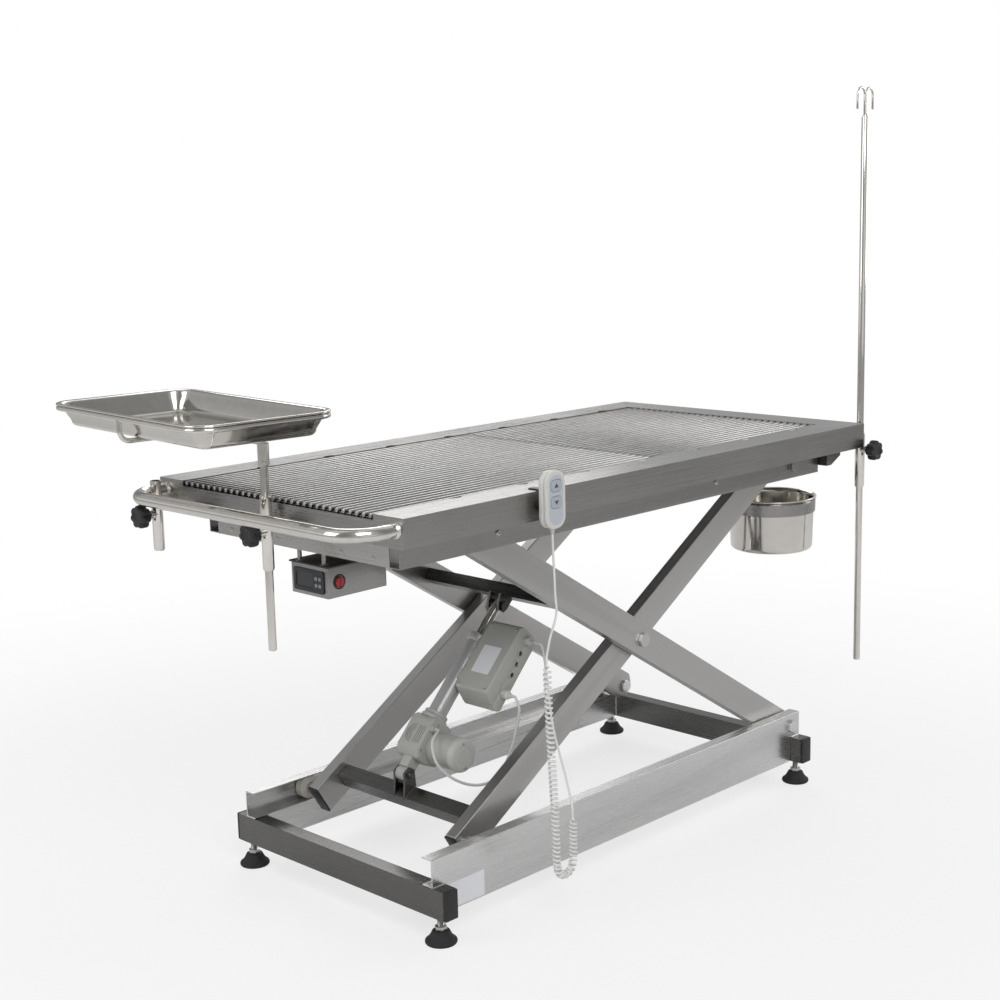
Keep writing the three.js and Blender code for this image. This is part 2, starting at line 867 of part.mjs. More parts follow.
// Tabletop rim with a stepped opening for the grates
const barTop = topZ - barBelowTop;
const barBottom = barTop - barDiameter;
const crossBarTop = barBottom + barSink;
const ledgeTop = crossBarTop - crossBarThickness - seat;
const ledgeBottom = ledgeTop - topSheet;
const plateInner = -halfLength + topSheet;
const shell = cut(
  block([-halfLength, halfLength], [-halfWidth, halfWidth], [rimBottom, topZ]),
  block(
    [-halfLength + topSheet, halfLength - topSheet],
    [-halfWidth + topSheet, halfWidth - topSheet],
    [rimBottom - 1, topZ - topSheet],
  ),
);
const well = block(
  [plateInner - 1, openRight + topSheet],
  [-openHalf - topSheet, openHalf + topSheet],
  [ledgeBottom, topZ - 0.5],
);
const bearer = (x) =>
  block([x, x + bearerWidth], [-halfWidth + 1, halfWidth - 1], [rimBottom, rimBottom + bearerHeight]);
const notches = [];
for (let i = 0; i < notchCount; i += 1) {
  const x = notchFirst + i * notchSpacing;
  for (const side of [-1, 1]) {
    const y = side * (openHalf - notchRadius + notchDepth);
    notches.push(bar([x, y, ledgeTop + 2], [x, y, topZ + 1], notchRadius, 10));
  }
}
const rim = cut(
  join(shell, well, bearer(subframeLeft), bearer(subframeRight - bearerWidth)),
  block([plateInner, openRight], [-openHalf, openHalf], [ledgeTop, topZ + 1]),
  block(
    [plateInner + ledgeWidth, openRight - ledgeWidth],
    [-openHalf + ledgeWidth, openHalf - ledgeWidth],
    [ledgeBottom - 1, topZ + 1],
  ),
  block([-halfLength - 1, plateInner + 1], [-openHalf, openHalf], [topZ - endPlateDrop, topZ + 1]),
  ...notches,
);
add(table, "tabletop_frame", rim, brushedSteel);

// Two lift-out grates of round bars on flat cross bars
function grate(from, to, crossAt) {
  const barZ = barTop - barDiameter / 2;
  const first = (-(barCount - 1) / 2) * barPitch;
  const pieces = [];
  for (let i = 0; i < barCount; i += 1) {
    const y = first + i * barPitch;
    pieces.push(bar([from, y, barZ], [to, y, barZ], barDiameter / 2, 6));
  }
  const half = openHalf - 1.5;
  for (const x of crossAt) {
    pieces.push(
      block([x, x + crossBarWidth], [-half, half], [crossBarTop - crossBarThickness, crossBarTop]),
    );
  }
  return join(...pieces);
}
const grateEnd = openRight - 1.5;
const leftStart = -halfLength + 1;
const crossInset = 20;
const leftCross = [leftStart + crossInset, grateSplitX - crossInset - crossBarWidth];
const rightCross = [grateSplitX + crossInset, grateEnd - crossInset - crossBarWidth];
add(table, "grate_left", grate(leftStart, grateSplitX - seat, leftCross), polishedSteel);
add(table, "grate_right", grate(grateSplitX + seat, grateEnd, rightCross), polishedSteel);

// Drain pan with a deep trough and spout at the pole end
const panX = halfLength - topSheet - seat;
const panY = halfWidth - topSheet - seat;
const panFloor = panBottom + panSheet;
const troughRight = halfLength - troughFromEnd + troughWidth;
const troughLeft = halfLength - troughFromEnd;
const troughBottom = rimBottom - troughDepth;
const troughShape = (inset) =>
  outline([
    [troughLeft + inset, panFloor + inset],
    [troughLeft + inset, troughBottom + inset],
    [troughRight - troughChamfer, troughBottom + inset],
    [troughRight - inset, troughBottom + troughChamfer / 2 + inset],
    [troughRight - inset, panFloor + inset],
  ]);
const spoutX = troughLeft + 14;
const pan = cut(
  join(
    cut(
      block([-panX, panX], [-panY, panY], [panBottom, panBottom + panEdge]),
      block([-panX + panSheet, panX - panSheet], [-panY + panSheet, panY - panSheet], [panFloor, topZ]),
    ),
    alongY(troughShape(0), [-troughHalfLength, troughHalfLength]),
    bar([spoutX, bucketY, troughBottom + 1], [spoutX, bucketY, troughBottom - spoutLength], spoutRadius),
  ),
  alongY(troughShape(panSheet), [-troughHalfLength + panSheet, troughHalfLength - panSheet]),
  bar([spoutX, bucketY, panFloor], [spoutX, bucketY, troughBottom - spoutLength - 1], spoutRadius - panSheet),
);
add(table, "drain_pan", pan, brushedSteel);

// Subframe: two roller rails and two end channels
for (const [place, side] of Object.entries(sides)) {
  const outer = side * railOuter;
  const web = side * (railOuter - railSheet);
  const lip = side * railInner;
  const shape = outline([
    [outer, subframeBottom],
    [outer, subframeTop],
    [lip, subframeTop],
    [lip, subframeTop - railSheet],
    [web, subframeTop - railSheet],
    [web, subframeBottom + railSheet],
    [lip, subframeBottom + railSheet],
    [lip, subframeBottom],
  ]);
  const rail = join(
    alongX(shape, [subframeLeft, subframeRight]),
    pivotStub(side, topPivotZ, innerArmFace, innerArmInner),
  );
  add(table, `top_rail_${place}`, rail, brushedSteel);
}
for (const [end, outer, inward] of [
  ["left", subframeLeft, 1],
  ["right", subframeRight, -1],
]) {
  const web = outer + inward * railSheet;
  const lip = outer + inward * railWidth;
  const shape = outline([
    [outer, subframeBottom],
    [outer, subframeTop],
    [lip, subframeTop],
    [lip, subframeTop - railSheet],
    [web, subframeTop - railSheet],
    [web, subframeBottom + railSheet],
    [lip, subframeBottom + railSheet],
    [lip, subframeBottom],
  ]);
  const half = railInner - seat;
  add(table, `top_end_channel_${end}`, alongY(shape, [-half, half]), brushedSteel);
}

// End handle
const handleZ = topZ - handleBelowTop;
const handleX = -halfLength - handleReach;
const handleFoot = -halfLength - seat;
const handlePath = bent(
  [
    [handleFoot, -handleHalfSpan, handleZ],
    [handleX, -handleHalfSpan, handleZ],
    [handleX, handleHalfSpan, handleZ],
    [handleFoot, handleHalfSpan, handleZ],
  ],
  handleBend,
  6,
);
add(table, "end_handle", sweep(handlePath, handleRadius, 12), polishedSteel);

// Accessory socket with a weld tab and a threaded boss
function socket(x, y, top, bottom, tab, boss, bossZ) {
  const [bx, by] = boss;
  const bossEnd = [x + bx * bossReach, y + by * bossReach, bossZ];
  return cut(
    join(
      bar([x, y, bottom], [x, y, top], socketRadius),
      tab,
      bar([x + bx, y + by, bossZ], bossEnd, bossRadius, 12),
    ),
    bar([x, y, bottom - 1], [x, y, top + 1], postRadius + pinGap),
    bar([x, y, bossZ], [x + 2 * bx * bossReach, y + 2 * by * bossReach, bossZ], knobStudRadius + pinGap, 12),
  );
}

// Lobed clamp knob on a stud that reaches the post
function knob(x, y, z, boss) {
  const turn = new THREE.Quaternion().setFromUnitVectors(
    new THREE.Vector3(0, 0, 1),
    new THREE.Vector3(boss[0], boss[1], 0),
  );
  const points = Array.from({ length: knobLobes * 4 }, (_, k) => {
    const a = (2 * Math.PI * k) / (knobLobes * 4);
    const r = knobRadius - knobLobe + knobLobe * Math.cos(knobLobes * a);
    return [r * Math.cos(a), r * Math.sin(a)];
  });
  const headAt = bossReach + seat + knobHub;
  const head = extruded(outline(points), knobThickness, 0, 1).translate(0, 0, headAt - 0.5);
  const at = (d) => [x + boss[0] * d, y + boss[1] * d, z];
  return join(
    solid(head.applyQuaternion(turn).translate(x, y, z)),
    bar(at(bossReach + seat), at(headAt), bossRadius + 1, 14),
    bar(at(postRadius + seat), at(headAt), knobStudRadius, 12),
  );
}

const knobZ = topZ - knobBelowTop;
const socketTop = topZ + socketAboveTop;
const socketBottom = socketTop - socketLength;
const toLeft = [-1, 0];
const toFront = [0, -1];
const plateTab = (x, y) => block([x, -halfLength - seat], [y - 4, y + 4], [handleZ - 26, handleZ - 2]);
for (const [place, x, y] of [
  ["middle", middleSocketX, middleSocketY],
  ["corner", cornerSocketX, cornerSocketY],
]) {
  const body = socket(x, y, socketTop, socketBottom, plateTab(x, y), toLeft, knobZ);
  add(table, `socket_${place}`, body, brushedSteel);
  add(table, `knob_${place}`, knob(x, y, knobZ, toLeft), blackPlastic);
}
const poleX = halfLength + poleSocketGap + socketRadius;
const poleSocketTop = topZ - poleSocketBelowTop;
const poleSocketBottom = poleSocketTop - poleSocketLength;
const poleTab = block([halfLength + seat, poleX], [poleY - 4, poleY + 4], [rimBottom + 2, rimBottom + 22]);
add(
  table,
  "socket_pole",
  socket(poleX, poleY, poleSocketTop, poleSocketBottom, poleTab, toFront, knobZ),
  brushedSteel,
);
add(table, "knob_pole", knob(poleX, poleY, knobZ, toFront), blackPlastic);

// IV pole with a double hook
const poleTop = topZ + poleAboveTop;
const hookTop = poleTop + hookHeight;
const poleHook = (side) =>
  sweep(
    bent(
      [
        [poleX, poleY, poleTop - 6],
        [poleX, poleY, hookTop - hookWire],
        [poleX + side * hookReach, poleY, hookTop - hookWire],
        [poleX + side * hookReach, poleY, hookTop - hookDrop],
      ],
      hookReach / 2 - 0.5,
      5,
    ),
    hookWire,
    6,
  );
const pole = join(
  bar([poleX, poleY, topZ - poleBelowTop], [poleX, poleY, poleTop], postRadius),
  poleHook(-1),
  poleHook(1),
);
add(table, "iv_pole", pole, polishedSteel);

// Tray post with a collar, then the tray frame and tray swung about it
const trayRimTop = topZ + trayRimAboveTop;
const trayRimBottom = trayRimTop - trayRimHeight;
const trayBottom = trayRimTop - trayDepth;
const ringX = trayWidth / 2 - frameRod;
const ringY = trayLength / 2 - frameRod;
const ringZ = trayRimBottom - seat - frameRod;
const underZ = trayBottom - seat - frameRod;
const trayPostTop = underZ;
const hubBottom = trayPostTop - frameHubLength;
const trayPost = join(
  bar(
    [middleSocketX, middleSocketY, topZ - trayPostBelowTop],
    [middleSocketX, middleSocketY, trayPostTop - 4],
    postRadius,
  ),
  bar(
    [middleSocketX, middleSocketY, hubBottom - 8],
    [middleSocketX, middleSocketY, hubBottom - seat],
    postRadius + 3,
  ),
);
add(table, "tray_post", trayPost, polishedSteel);

const trayGroup = new THREE.Group();
trayGroup.position.set(middleSocketX, middleSocketY, 0);
trayGroup.rotation.z = traySwing;
table.add(trayGroup);

const moved = (body) => body.translate([traySide, trayForward, 0]);
const ringPath = roundedRectangle(2 * ringX, 2 * ringY, trayCorner - frameRod)
  .getPoints(4)
  .slice(0, -1)
  .map((p) => new THREE.Vector3(p.x, p.y, ringZ));
const crossRod = bent(
  [
    [-ringX, 0, ringZ],
    [-ringX, 0, underZ],
    [ringX, 0, underZ],
    [ringX, 0, ringZ],
  ],
  18,
  4,
);
const longRod = [new THREE.Vector3(-traySide, -trayForward, underZ), new THREE.Vector3(-traySide, 4, underZ)];
const trayFrame = cut(
  join(
    moved(sweep(ringPath, frameRod, 6, true)),
    moved(sweep(crossRod, frameRod, 6)),
    moved(sweep(longRod, frameRod, 6)),
    bar([0, 0, hubBottom], [0, 0, trayPostTop], frameHubRadius),
  ),
  bar([0, 0, hubBottom - 1], [0, 0, trayPostTop - 3], postRadius + pinGap),
);
add(trayGroup, "tray_frame", trayFrame, polishedSteel);

const wallInset = 2 * frameRod + seat + 1;
const [rx, ry] = [trayWidth / 2, trayLength / 2];
const section = (inset, z) => [rx - inset, ry - inset, Math.max(trayCorner - inset, 6), z];
const tray = moved(
  pressed(
    [
      section(wallInset + trayTaper + 6, trayBottom),
      section(wallInset + trayTaper, trayBottom + 5),
      section(wallInset, trayRimBottom),
      section(1, trayRimBottom),
      section(0, trayRimBottom + trayRimHeight / 2),
      section(1.5, trayRimTop),
      section(wallInset + traySheet, trayRimTop),
      section(wallInset + traySheet + trayTaper, trayBottom + 6),
      section(wallInset + traySheet + trayTaper + 5, trayBottom + traySheet),
    ],
    4,
  ),
);
add(trayGroup, "tray", tray, polishedSteel);

// Bucket and the ring that holds it
const bucketRim = topZ - bucketBelowTop;
const bucketBottom = bucketRim - bucketHeight;
const bucketSlope = (bucketTopRadius - bucketBottomRadius) / bucketHeight;
const bucketRadius = (z) => bucketBottomRadius + (z - bucketBottom) * bucketSlope;
const bucketSides = 20;
const bucket = turned(
  [
    [bucketBottomRadius - 3, bucketBottom],
    [bucketRadius(bucketBottom + 3), bucketBottom + 3],
    [bucketRadius(bucketRim - 5), bucketRim - 5],
    [bucketRimRadius, bucketRim - 4],
    [bucketRimRadius, bucketRim - 1],
    [bucketRimRadius - 2, bucketRim],
    [bucketTopRadius - bucketSheet, bucketRim],
    [bucketRadius(bucketBottom + 4) - bucketSheet, bucketBottom + 4],
    [bucketBottomRadius - 5, bucketBottom + bucketSheet],
  ],
  bucketSides,
  bucketX,
  bucketY,
);
add(table, "bucket", bucket, polishedSteel);

const ringTop = bucketRim - ringBelowRim;
const ringBottom = ringTop - ringHeight;
const coneAround = (gap, from, to) =>
  turned(
    [
      [bucketRadius(from) + gap, from],
      [bucketRadius(to) + gap, to],
    ],
    bucketSides,
    bucketX,
    bucketY,
  );
const ringBarX = [bucketX - ringBarWidth / 2, bucketX + ringBarWidth / 2];
const ringBarY = bucketY + bucketRimRadius + 1;
const ring = cut(
  join(
    coneAround(seat + ringSheet, ringBottom, ringTop),
    block(ringBarX, [bucketY + bucketBottomRadius, ringBarY + ringSheet], [ringBottom + 2, ringTop - 2]),
    block(ringBarX, [ringBarY, ringBarY + ringSheet], [ringBottom + 2, subframeBottom - seat]),
  ),
  coneAround(seat, ringBottom - 1, ringTop + 1),
);
add(table, "bucket_ring", ring, brushedSteel);

// Thermostat box with hangers, panel and rocker
const thermoTop = subframeBottom - thermoBelowFrame;
const thermoBottom = thermoTop - thermoHeight;
const thermoEnd = thermoX + thermoLength;
const thermoBack = thermoY + thermoWidth;
const rockerAt = [thermoX + rockerFromEnd, thermoY, (thermoTop + thermoBottom) / 2];
const hangers = [];
for (const y of [thermoY + 16, thermoBack - 16]) {
  const nearX = subframeLeft + railWidth / 2 + 6;
  const farX = thermoEnd - 18;
  hangers.push(bar([nearX, y, thermoTop], [nearX, y, subframeBottom - seat], hangerRadius, 8));
  hangers.push(bar([farX, y, thermoTop], [farX, y, panBottom - seat], hangerRadius, 8));
}
const thermoLid = block(
  [thermoX - lidOverhang, thermoEnd + lidOverhang],
  [thermoY - lidOverhang, thermoBack + lidOverhang],
  [thermoTop, thermoTop + lidThickness],
);
const bezel = (y) => [rockerAt[0], y, rockerAt[2]];
const thermo = cut(
  join(
    block([thermoX, thermoEnd], [thermoY, thermoBack], [thermoBottom, thermoTop + 0.5]),
    thermoLid,
    ...hangers,
    bar(bezel(thermoY + 1), bezel(thermoY - 2), rockerRadius + rockerGap + 2.5, 16),
  ),
  bar(bezel(thermoY + rockerDepth), bezel(thermoY - 3), rockerRadius + rockerGap, 16),
);
add(table, "thermostat_box", thermo, brushedSteel);

const panelY = (thermoY + thermoBack) / 2;
const panelZ = (thermoTop + thermoBottom) / 2;
const panelShape = roundedRectangle(panelWidth, panelHeight, 5, panelY, panelZ);
const panelX = [thermoX - seat - panelThickness, thermoX - seat];
add(table, "thermostat_panel", alongX(panelShape, panelX, 0, 2), darkPanel);
add(
  table,
  "power_rocker",
  bar(bezel(thermoY + rockerDepth / 2), bezel(thermoY - 4), rockerRadius, 16),
  redPlastic,
);

// Handset hook, handset and keys
const rimFace = -halfWidth - seat;
const strapOuter = rimFace - hookSheet;
const hookX = [handsetX - hookWidth / 2, handsetX + hookWidth / 2];
const strapBottom = topZ - hookDropLength;
const upturnOuter = rimFace - handsetFromRim + 2;
const upturnTop = strapBottom + hookLip;
const hook = join(
  block(hookX, [rimFace, strapOuter], [strapBottom, topZ + seat + hookSheet]),
  block(hookX, [strapOuter, -halfWidth + 25], [topZ + seat, topZ + seat + hookSheet]),
  block(hookX, [rimFace, upturnOuter], [strapBottom, strapBottom + hookSheet]),
  block(hookX, [upturnOuter + hookSheet, upturnOuter], [strapBottom, upturnTop]),
);
add(table, "handset_hook", hook, blackPlastic);

const handsetBack = rimFace - handsetFromRim;
const handsetFront = handsetBack - handsetThickness;
const handsetMiddle = topZ + handsetAboveTop - handsetHeight / 2;
const handsetBottom = handsetMiddle - handsetHeight / 2;
const handsetShape = roundedRectangle(handsetWidth, handsetHeight, 17, handsetX, handsetMiddle);
const hangerInner = upturnOuter + hookSheet + 1 + hookSheet;
const hangerX = [handsetX - 5, handsetX + 5];
const hangerTop = upturnTop + seat + 3;
const cordExit = [handsetX, (handsetBack + handsetFront) / 2];
const relief = 10;
const keyPlaces = { up: handsetMiddle + keyRaise + 10, down: handsetMiddle - keyRaise + 10 };
const keyShape = (grow, z) =>
  roundedRectangle(keyWidth + 2 * grow, keyHeight + 2 * grow, 8, handsetX, z);
const pockets = Object.values(keyPlaces).map((z) =>
  alongY(keyShape(keyGap, z), [handsetFront - 1, handsetFront + keySunk + keyTravel + seat], 0, 2),
);
const handset = cut(
  join(
    alongY(handsetShape, [handsetFront, handsetBack], 3, 3),
    block(hangerX, [handsetBack - 1, hangerInner], [upturnTop + seat, hangerTop]),
    block(hangerX, [hangerInner - hookSheet, hangerInner], [upturnTop - 9, hangerTop]),
    bar([...cordExit, handsetBottom + 2], [...cordExit, handsetBottom - relief], 5, 12, cordRadius + 1),
  ),
  ...pockets,
);
add(table, "handset_body", handset, whitePlastic);
for (const [place, z] of Object.entries(keyPlaces)) {
  const key = alongY(keyShape(0, z), [handsetFront - keyProud, handsetFront + keySunk], 0.6, 2);
  add(table, `handset_key_${place}`, key, greyKey);
}

// Route of the handset cord: down from the handset, round a low bend and up to the plug
const cordY = cordExit[1];
const curlTop = new THREE.Vector3(handsetX - 20, cordY, handsetBottom - curlTopDrop);
const bendX = handsetX + 18;
const bendZ = handsetBottom - bendDrop;
const curlEnd = new THREE.Vector3(bendX + bendRadius + 1, cordY, bendZ + curlEndRise);
const bendPoints = [180, 216, 252, 288, 324, 360].map((degrees) => {
  const a = THREE.MathUtils.degToRad(degrees);
  return new THREE.Vector3(bendX + bendRadius * Math.cos(a), cordY, bendZ + bendRadius * Math.sin(a));
});
const curlAxis = new THREE.CatmullRomCurve3(
  [
    curlTop,
    new THREE.Vector3(handsetX - 15, cordY, bendZ + strandMiddleRise),
    new THREE.Vector3(handsetX - 6, cordY, bendZ + strandLowRise),
    ...bendPoints,
    curlEnd,
  ],
  false,
  "centripetal",
);

// One unbroken tube with curls: wide pitch in the long strand, closer towards its end
function curlPoints() {
  const steps = curlCount * curlSteps;
  const length = curlAxis.getLength();
  const straight = (2 * cordRadius) / length;
  const points = [curlAxis.getPointAt(0)];
  const sideways = new THREE.Vector3(0, 1, 0);
  for (let i = 0; i <= steps; i += 1) {
    const t = i / steps;
    const u = straight + (1 - 2 * straight) * (1.13 * t - 0.13 * t * t);
    const swell = Math.min(1, (t * curlCount) / 1.5, ((1 - t) * curlCount) / 1.5);
    const tangent = curlAxis.getTangentAt(Math.min(u, 1));
    const outward = sideways.clone().cross(tangent);
    const a = 2 * Math.PI * curlCount * t;
    points.push(
      curlAxis
        .getPointAt(Math.min(u, 1))
        .addScaledVector(sideways, swell * curlRadius * Math.cos(a))
        .addScaledVector(outward, swell * curlRadius * Math.sin(a)),
    );
  }
  points.push(curlAxis.getPointAt(1));
  return points;
}

function leastGap(points, apart) {
  let least = Infinity;
  for (let i = 0; i < points.length; i += 1) {
    for (let k = i + apart; k < points.length; k += 1) {
      least = Math.min(least, points[i].distanceTo(points[k]));
    }
  }
  return least - 2 * cordRadius;
}
const curls = curlPoints();
console.log("curl, least gap to itself in mm:", leastGap(curls, curlSteps - 2).toFixed(2));
add(table, "cord_curl", sweep(curls, cordRadius, curlSides), cordGrey);

const cordTop = new THREE.Vector3(...cordExit, handsetBottom - relief - seat);
const upperRoute = [
  cordTop,
  cordTop.clone().add(new THREE.Vector3(0, 0, -8)),
  new THREE.Vector3(handsetX + 4, cordY, handsetBottom - 110),
  new THREE.Vector3(handsetX + 6, cordY, handsetBottom - 150),
  new THREE.Vector3(handsetX - 10, cordY, handsetBottom - 186),
  curlTop.clone().add(new THREE.Vector3(0, 0, 8)),
  curlTop.clone().add(new THREE.Vector3(0, 0, seat)),
];
add(table, "cord_upper", sweep(smooth(upperRoute, 22), cordRadius, 8), cordGrey);

const plugTip = actuator.localToWorld(
  new THREE.Vector3(handsetPlugAlong, -boxOuter - plugLength - 2 * seat, -handsetPlugDrop),
);
const outFromPlug = plugTip.clone().add(new THREE.Vector3(0, -22, 0));
const lowerStart = curlEnd.clone().add(new THREE.Vector3(0, 0, seat));
const lowerRoute = [
  lowerStart,
  lowerStart.clone().add(new THREE.Vector3(0, 0, 12)),
  lowerStart.clone().lerp(outFromPlug, 0.22).add(new THREE.Vector3(-12, -10, 6)),
  lowerStart.clone().lerp(outFromPlug, 0.5).add(new THREE.Vector3(-12, 0, 6)),
  lowerStart.clone().lerp(outFromPlug, 0.8).add(new THREE.Vector3(-6, 0, 8)),
  outFromPlug,
  plugTip,
];
add(table, "cord_lower", sweep(smooth(lowerRoute, 28), cordRadius, 8), cordGrey);

// The origin: on the floor, in the middle of everything but the cords
table.updateMatrixWorld(true);
const extent = new THREE.Box3();
table.traverse((item) => {
  if (item.isMesh && !/^cord_|^motor_cable$|_plug$/.test(item.name)) extent.expandByObject(item, true);
});
const middle = extent.getCenter(new THREE.Vector3());
table.children.forEach((item) => {
  item.position.x -= middle.x;
  item.position.y -= middle.y;
});

export default table;
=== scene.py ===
import json
from math import atan2, cos, pi, radians, sin, tan

import bmesh
import bpy
from mathutils import Matrix, Vector

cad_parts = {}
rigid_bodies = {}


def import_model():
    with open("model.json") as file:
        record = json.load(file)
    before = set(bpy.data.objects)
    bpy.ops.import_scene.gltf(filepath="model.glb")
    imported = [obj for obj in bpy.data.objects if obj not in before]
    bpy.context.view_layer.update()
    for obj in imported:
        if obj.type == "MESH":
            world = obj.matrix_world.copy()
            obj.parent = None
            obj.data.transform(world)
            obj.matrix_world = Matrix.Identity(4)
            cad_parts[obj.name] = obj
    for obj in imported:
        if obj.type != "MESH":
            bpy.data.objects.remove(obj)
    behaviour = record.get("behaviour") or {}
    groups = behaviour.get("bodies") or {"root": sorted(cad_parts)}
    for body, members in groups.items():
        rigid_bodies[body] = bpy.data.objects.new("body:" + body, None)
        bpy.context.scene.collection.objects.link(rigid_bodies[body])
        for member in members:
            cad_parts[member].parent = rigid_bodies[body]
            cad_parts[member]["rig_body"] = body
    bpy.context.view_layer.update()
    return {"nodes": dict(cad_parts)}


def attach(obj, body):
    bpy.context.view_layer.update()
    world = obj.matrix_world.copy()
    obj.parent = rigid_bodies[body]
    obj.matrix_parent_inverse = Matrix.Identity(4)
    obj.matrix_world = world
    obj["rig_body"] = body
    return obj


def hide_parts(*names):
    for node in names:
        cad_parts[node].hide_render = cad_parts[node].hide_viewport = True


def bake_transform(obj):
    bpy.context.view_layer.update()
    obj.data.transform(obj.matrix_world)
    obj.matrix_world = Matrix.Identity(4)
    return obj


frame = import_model()
print("frame loaded")

# Drawing sizes are millimetres about the lift's middle plane; this matrix puts them in the row frame
tablePlace = Matrix.Translation((0.067255, -0.047203, 0)) @ Matrix.Scale(0.001, 4)

lift = {
    "pivotX": 495,
    "basePivot": 125.65,
    "armSpan": 1064,
    "armAngle": radians(31.6),
    "railHalf": 25.35,
    "seat": 0.3,
    "rimHeight": 50,
    "eyePin": (-463.5, 0, 43),  # on the inner arms
    "rodPin": (-172, 0, -30),  # on the outer arms
}
rise = lift["armSpan"] * sin(lift["armAngle"])
topPivot = lift["basePivot"] + rise
railBottom = topPivot - lift["railHalf"]
railTop = topPivot + lift["railHalf"]
rimBottom = railTop + lift["seat"]
topZ = rimBottom + lift["rimHeight"]
centreX = lift["pivotX"] - lift["armSpan"] / 2 * cos(lift["armAngle"])
centreZ = lift["basePivot"] + rise / 2
armCentre = tablePlace @ Matrix.Translation((centreX, 0, centreZ))
outerPlace = armCentre @ Matrix.Rotation(lift["armAngle"], 4, "Y")
innerPlace = armCentre @ Matrix.Rotation(-lift["armAngle"], 4, "Y")
eyePin = tablePlace.inverted() @ innerPlace @ Vector(lift["eyePin"])
rodPin = tablePlace.inverted() @ outerPlace @ Vector(lift["rodPin"])
actuatorLength = (rodPin - eyePin).length
actuatorAngle = atan2(rodPin.z - eyePin.z, rodPin.x - eyePin.x)
actuatorPlace = tablePlace @ Matrix.Translation(eyePin) @ Matrix.Rotation(-actuatorAngle, 4, "Y")

toLeft, toRight, toFront, toBack, toSky = (-1, 0, 0), (1, 0, 0), (0, -1, 0), (0, 1, 0), (0, 0, 1)
planeXy = (toRight, toBack, toSky)
planeXz = (toRight, toSky, toBack)
planeYz = (toBack, toSky, toRight)


def placed(name, data):
    made = bpy.data.objects.new(name, data)
    bpy.context.scene.collection.objects.link(made)
    return made


# Mesh helpers: each shape is a list of points and a list of faces
def arc(start, end, steps):
    return [radians(start + (end - start) * k / steps) for k in range(steps + 1)]


# Points on a round or oval run between two angles in degrees
def sweep(x, y, wide, high, start, end, steps):
    return [(x + wide * cos(a), y + high * sin(a)) for a in arc(start, end, steps)]


def ringAt(middle, across, side, radius, sides):
    angles = [2 * pi * k / sides for k in range(sides)]
    return [middle + across * (radius * cos(a)) + side * (radius * sin(a)) for a in angles]


def ringFaces(rows, sides, looped=False):
    faces = []
    for i in range(rows if looped else rows - 1):
        near, far = i * sides, ((i + 1) % rows) * sides
        for k in range(sides):
            faces.append((near + k, near + (k + 1) % sides, far + (k + 1) % sides, far + k))
    if not looped:
        faces.append(tuple(reversed(range(sides))))
        faces.append(tuple(range((rows - 1) * sides, rows * sides)))
    return faces


def tube(path, radius, sides=16, looped=False, soft=0.0):
    path = [Vector(p) for p in path]
    count = len(path)
    tangents = []
    for i in range(count):
        before = path[(i - 1) % count] if looped else path[max(i - 1, 0)]
        after = path[(i + 1) % count] if looped else path[min(i + 1, count - 1)]
        tangents.append((after - before).normalized())
    rows = [(p, t, radius) for p, t in zip(path, tangents)]
    if soft:
        edge = [(soft * (1 - sin(a)), radius - soft * (1 - cos(a))) for a in arc(90, 0, 3)]
        start = [(path[0] + tangents[0] * inward, tangents[0], width) for inward, width in edge]
        end = [(path[-1] - tangents[-1] * inward, tangents[-1], width) for inward, width in reversed(edge)]
        rows = start + rows[1:-1] + end
    across = tangents[0].orthogonal().normalized()
    points = []
    for place, tangent, width in rows:
        across = (across - tangent * across.dot(tangent)).normalized()
        points += ringAt(place, across, tangent.cross(across), max(width, 0.05), sides)
    return points, ringFaces(len(rows), sides, looped)


# A profile of radius and height turned about an axis
def turned(profile, origin, axis=toSky, sides=32, looped=False):
    axis = Vector(axis).normalized()
    across = axis.orthogonal().normalized()
    points = []
    for radius, height in profile:
        middle = Vector(origin) + axis * height
        points += ringAt(middle, across, axis.cross(across), max(radius, 0.02), sides)
    return points, ringFaces(len(profile), sides, looped)


# Equal rings of points joined into a skin
def skin(rings):
    return [p for ring in rings for p in ring], ringFaces(len(rings), len(rings[0]))


def roundedOutline(width, height, radius, steps=8, x=0.0, y=0.0):
    points = []
    for turn, sx, sy in ((0, 1, 1), (90, -1, 1), (180, -1, -1), (270, 1, -1)):
        midX, midY = x + sx * (width / 2 - radius), y + sy * (height / 2 - radius)
        points += sweep(midX, midY, radius, radius, turn, turn + 90, steps)
    return points


# A flat outline pushed along an axis, its edges rounded
def plate(outline, plane, start, depth, soft=0.0, steps=2):
    across, up, along = [Vector(v) for v in plane]
    made = bmesh.new()
    ring = [made.verts.new(across * a + up * b + along * start) for a, b in outline]
    face = made.faces.new(ring)
    pushed = bmesh.ops.extrude_face_region(made, geom=[face])["geom"]
    moved = [v for v in pushed if isinstance(v, bmesh.types.BMVert)]
    bmesh.ops.translate(made, verts=moved, vec=along * depth)
    bmesh.ops.recalc_face_normals(made, faces=made.faces)
    if soft:
        made.normal_update()
        sharp = [e for e in made.edges if e.calc_face_angle(0) > 0.6]
        bmesh.ops.bevel(
            made, geom=sharp, offset=soft, segments=steps, profile=0.5, affect="EDGES", clamp_overlap=True
        )
    made.verts.index_update()
    points = [v.co.copy() for v in made.verts]
    faces = [tuple(v.index for v in f.verts) for f in made.faces]
    made.free()
    return points, faces


def block(low, high, soft=0.0, steps=2):
    rectangle = [(low[0], low[1]), (high[0], low[1]), (high[0], high[1]), (low[0], high[1])]
    return plate(rectangle, planeXy, low[2], high[2] - low[2], soft, steps)


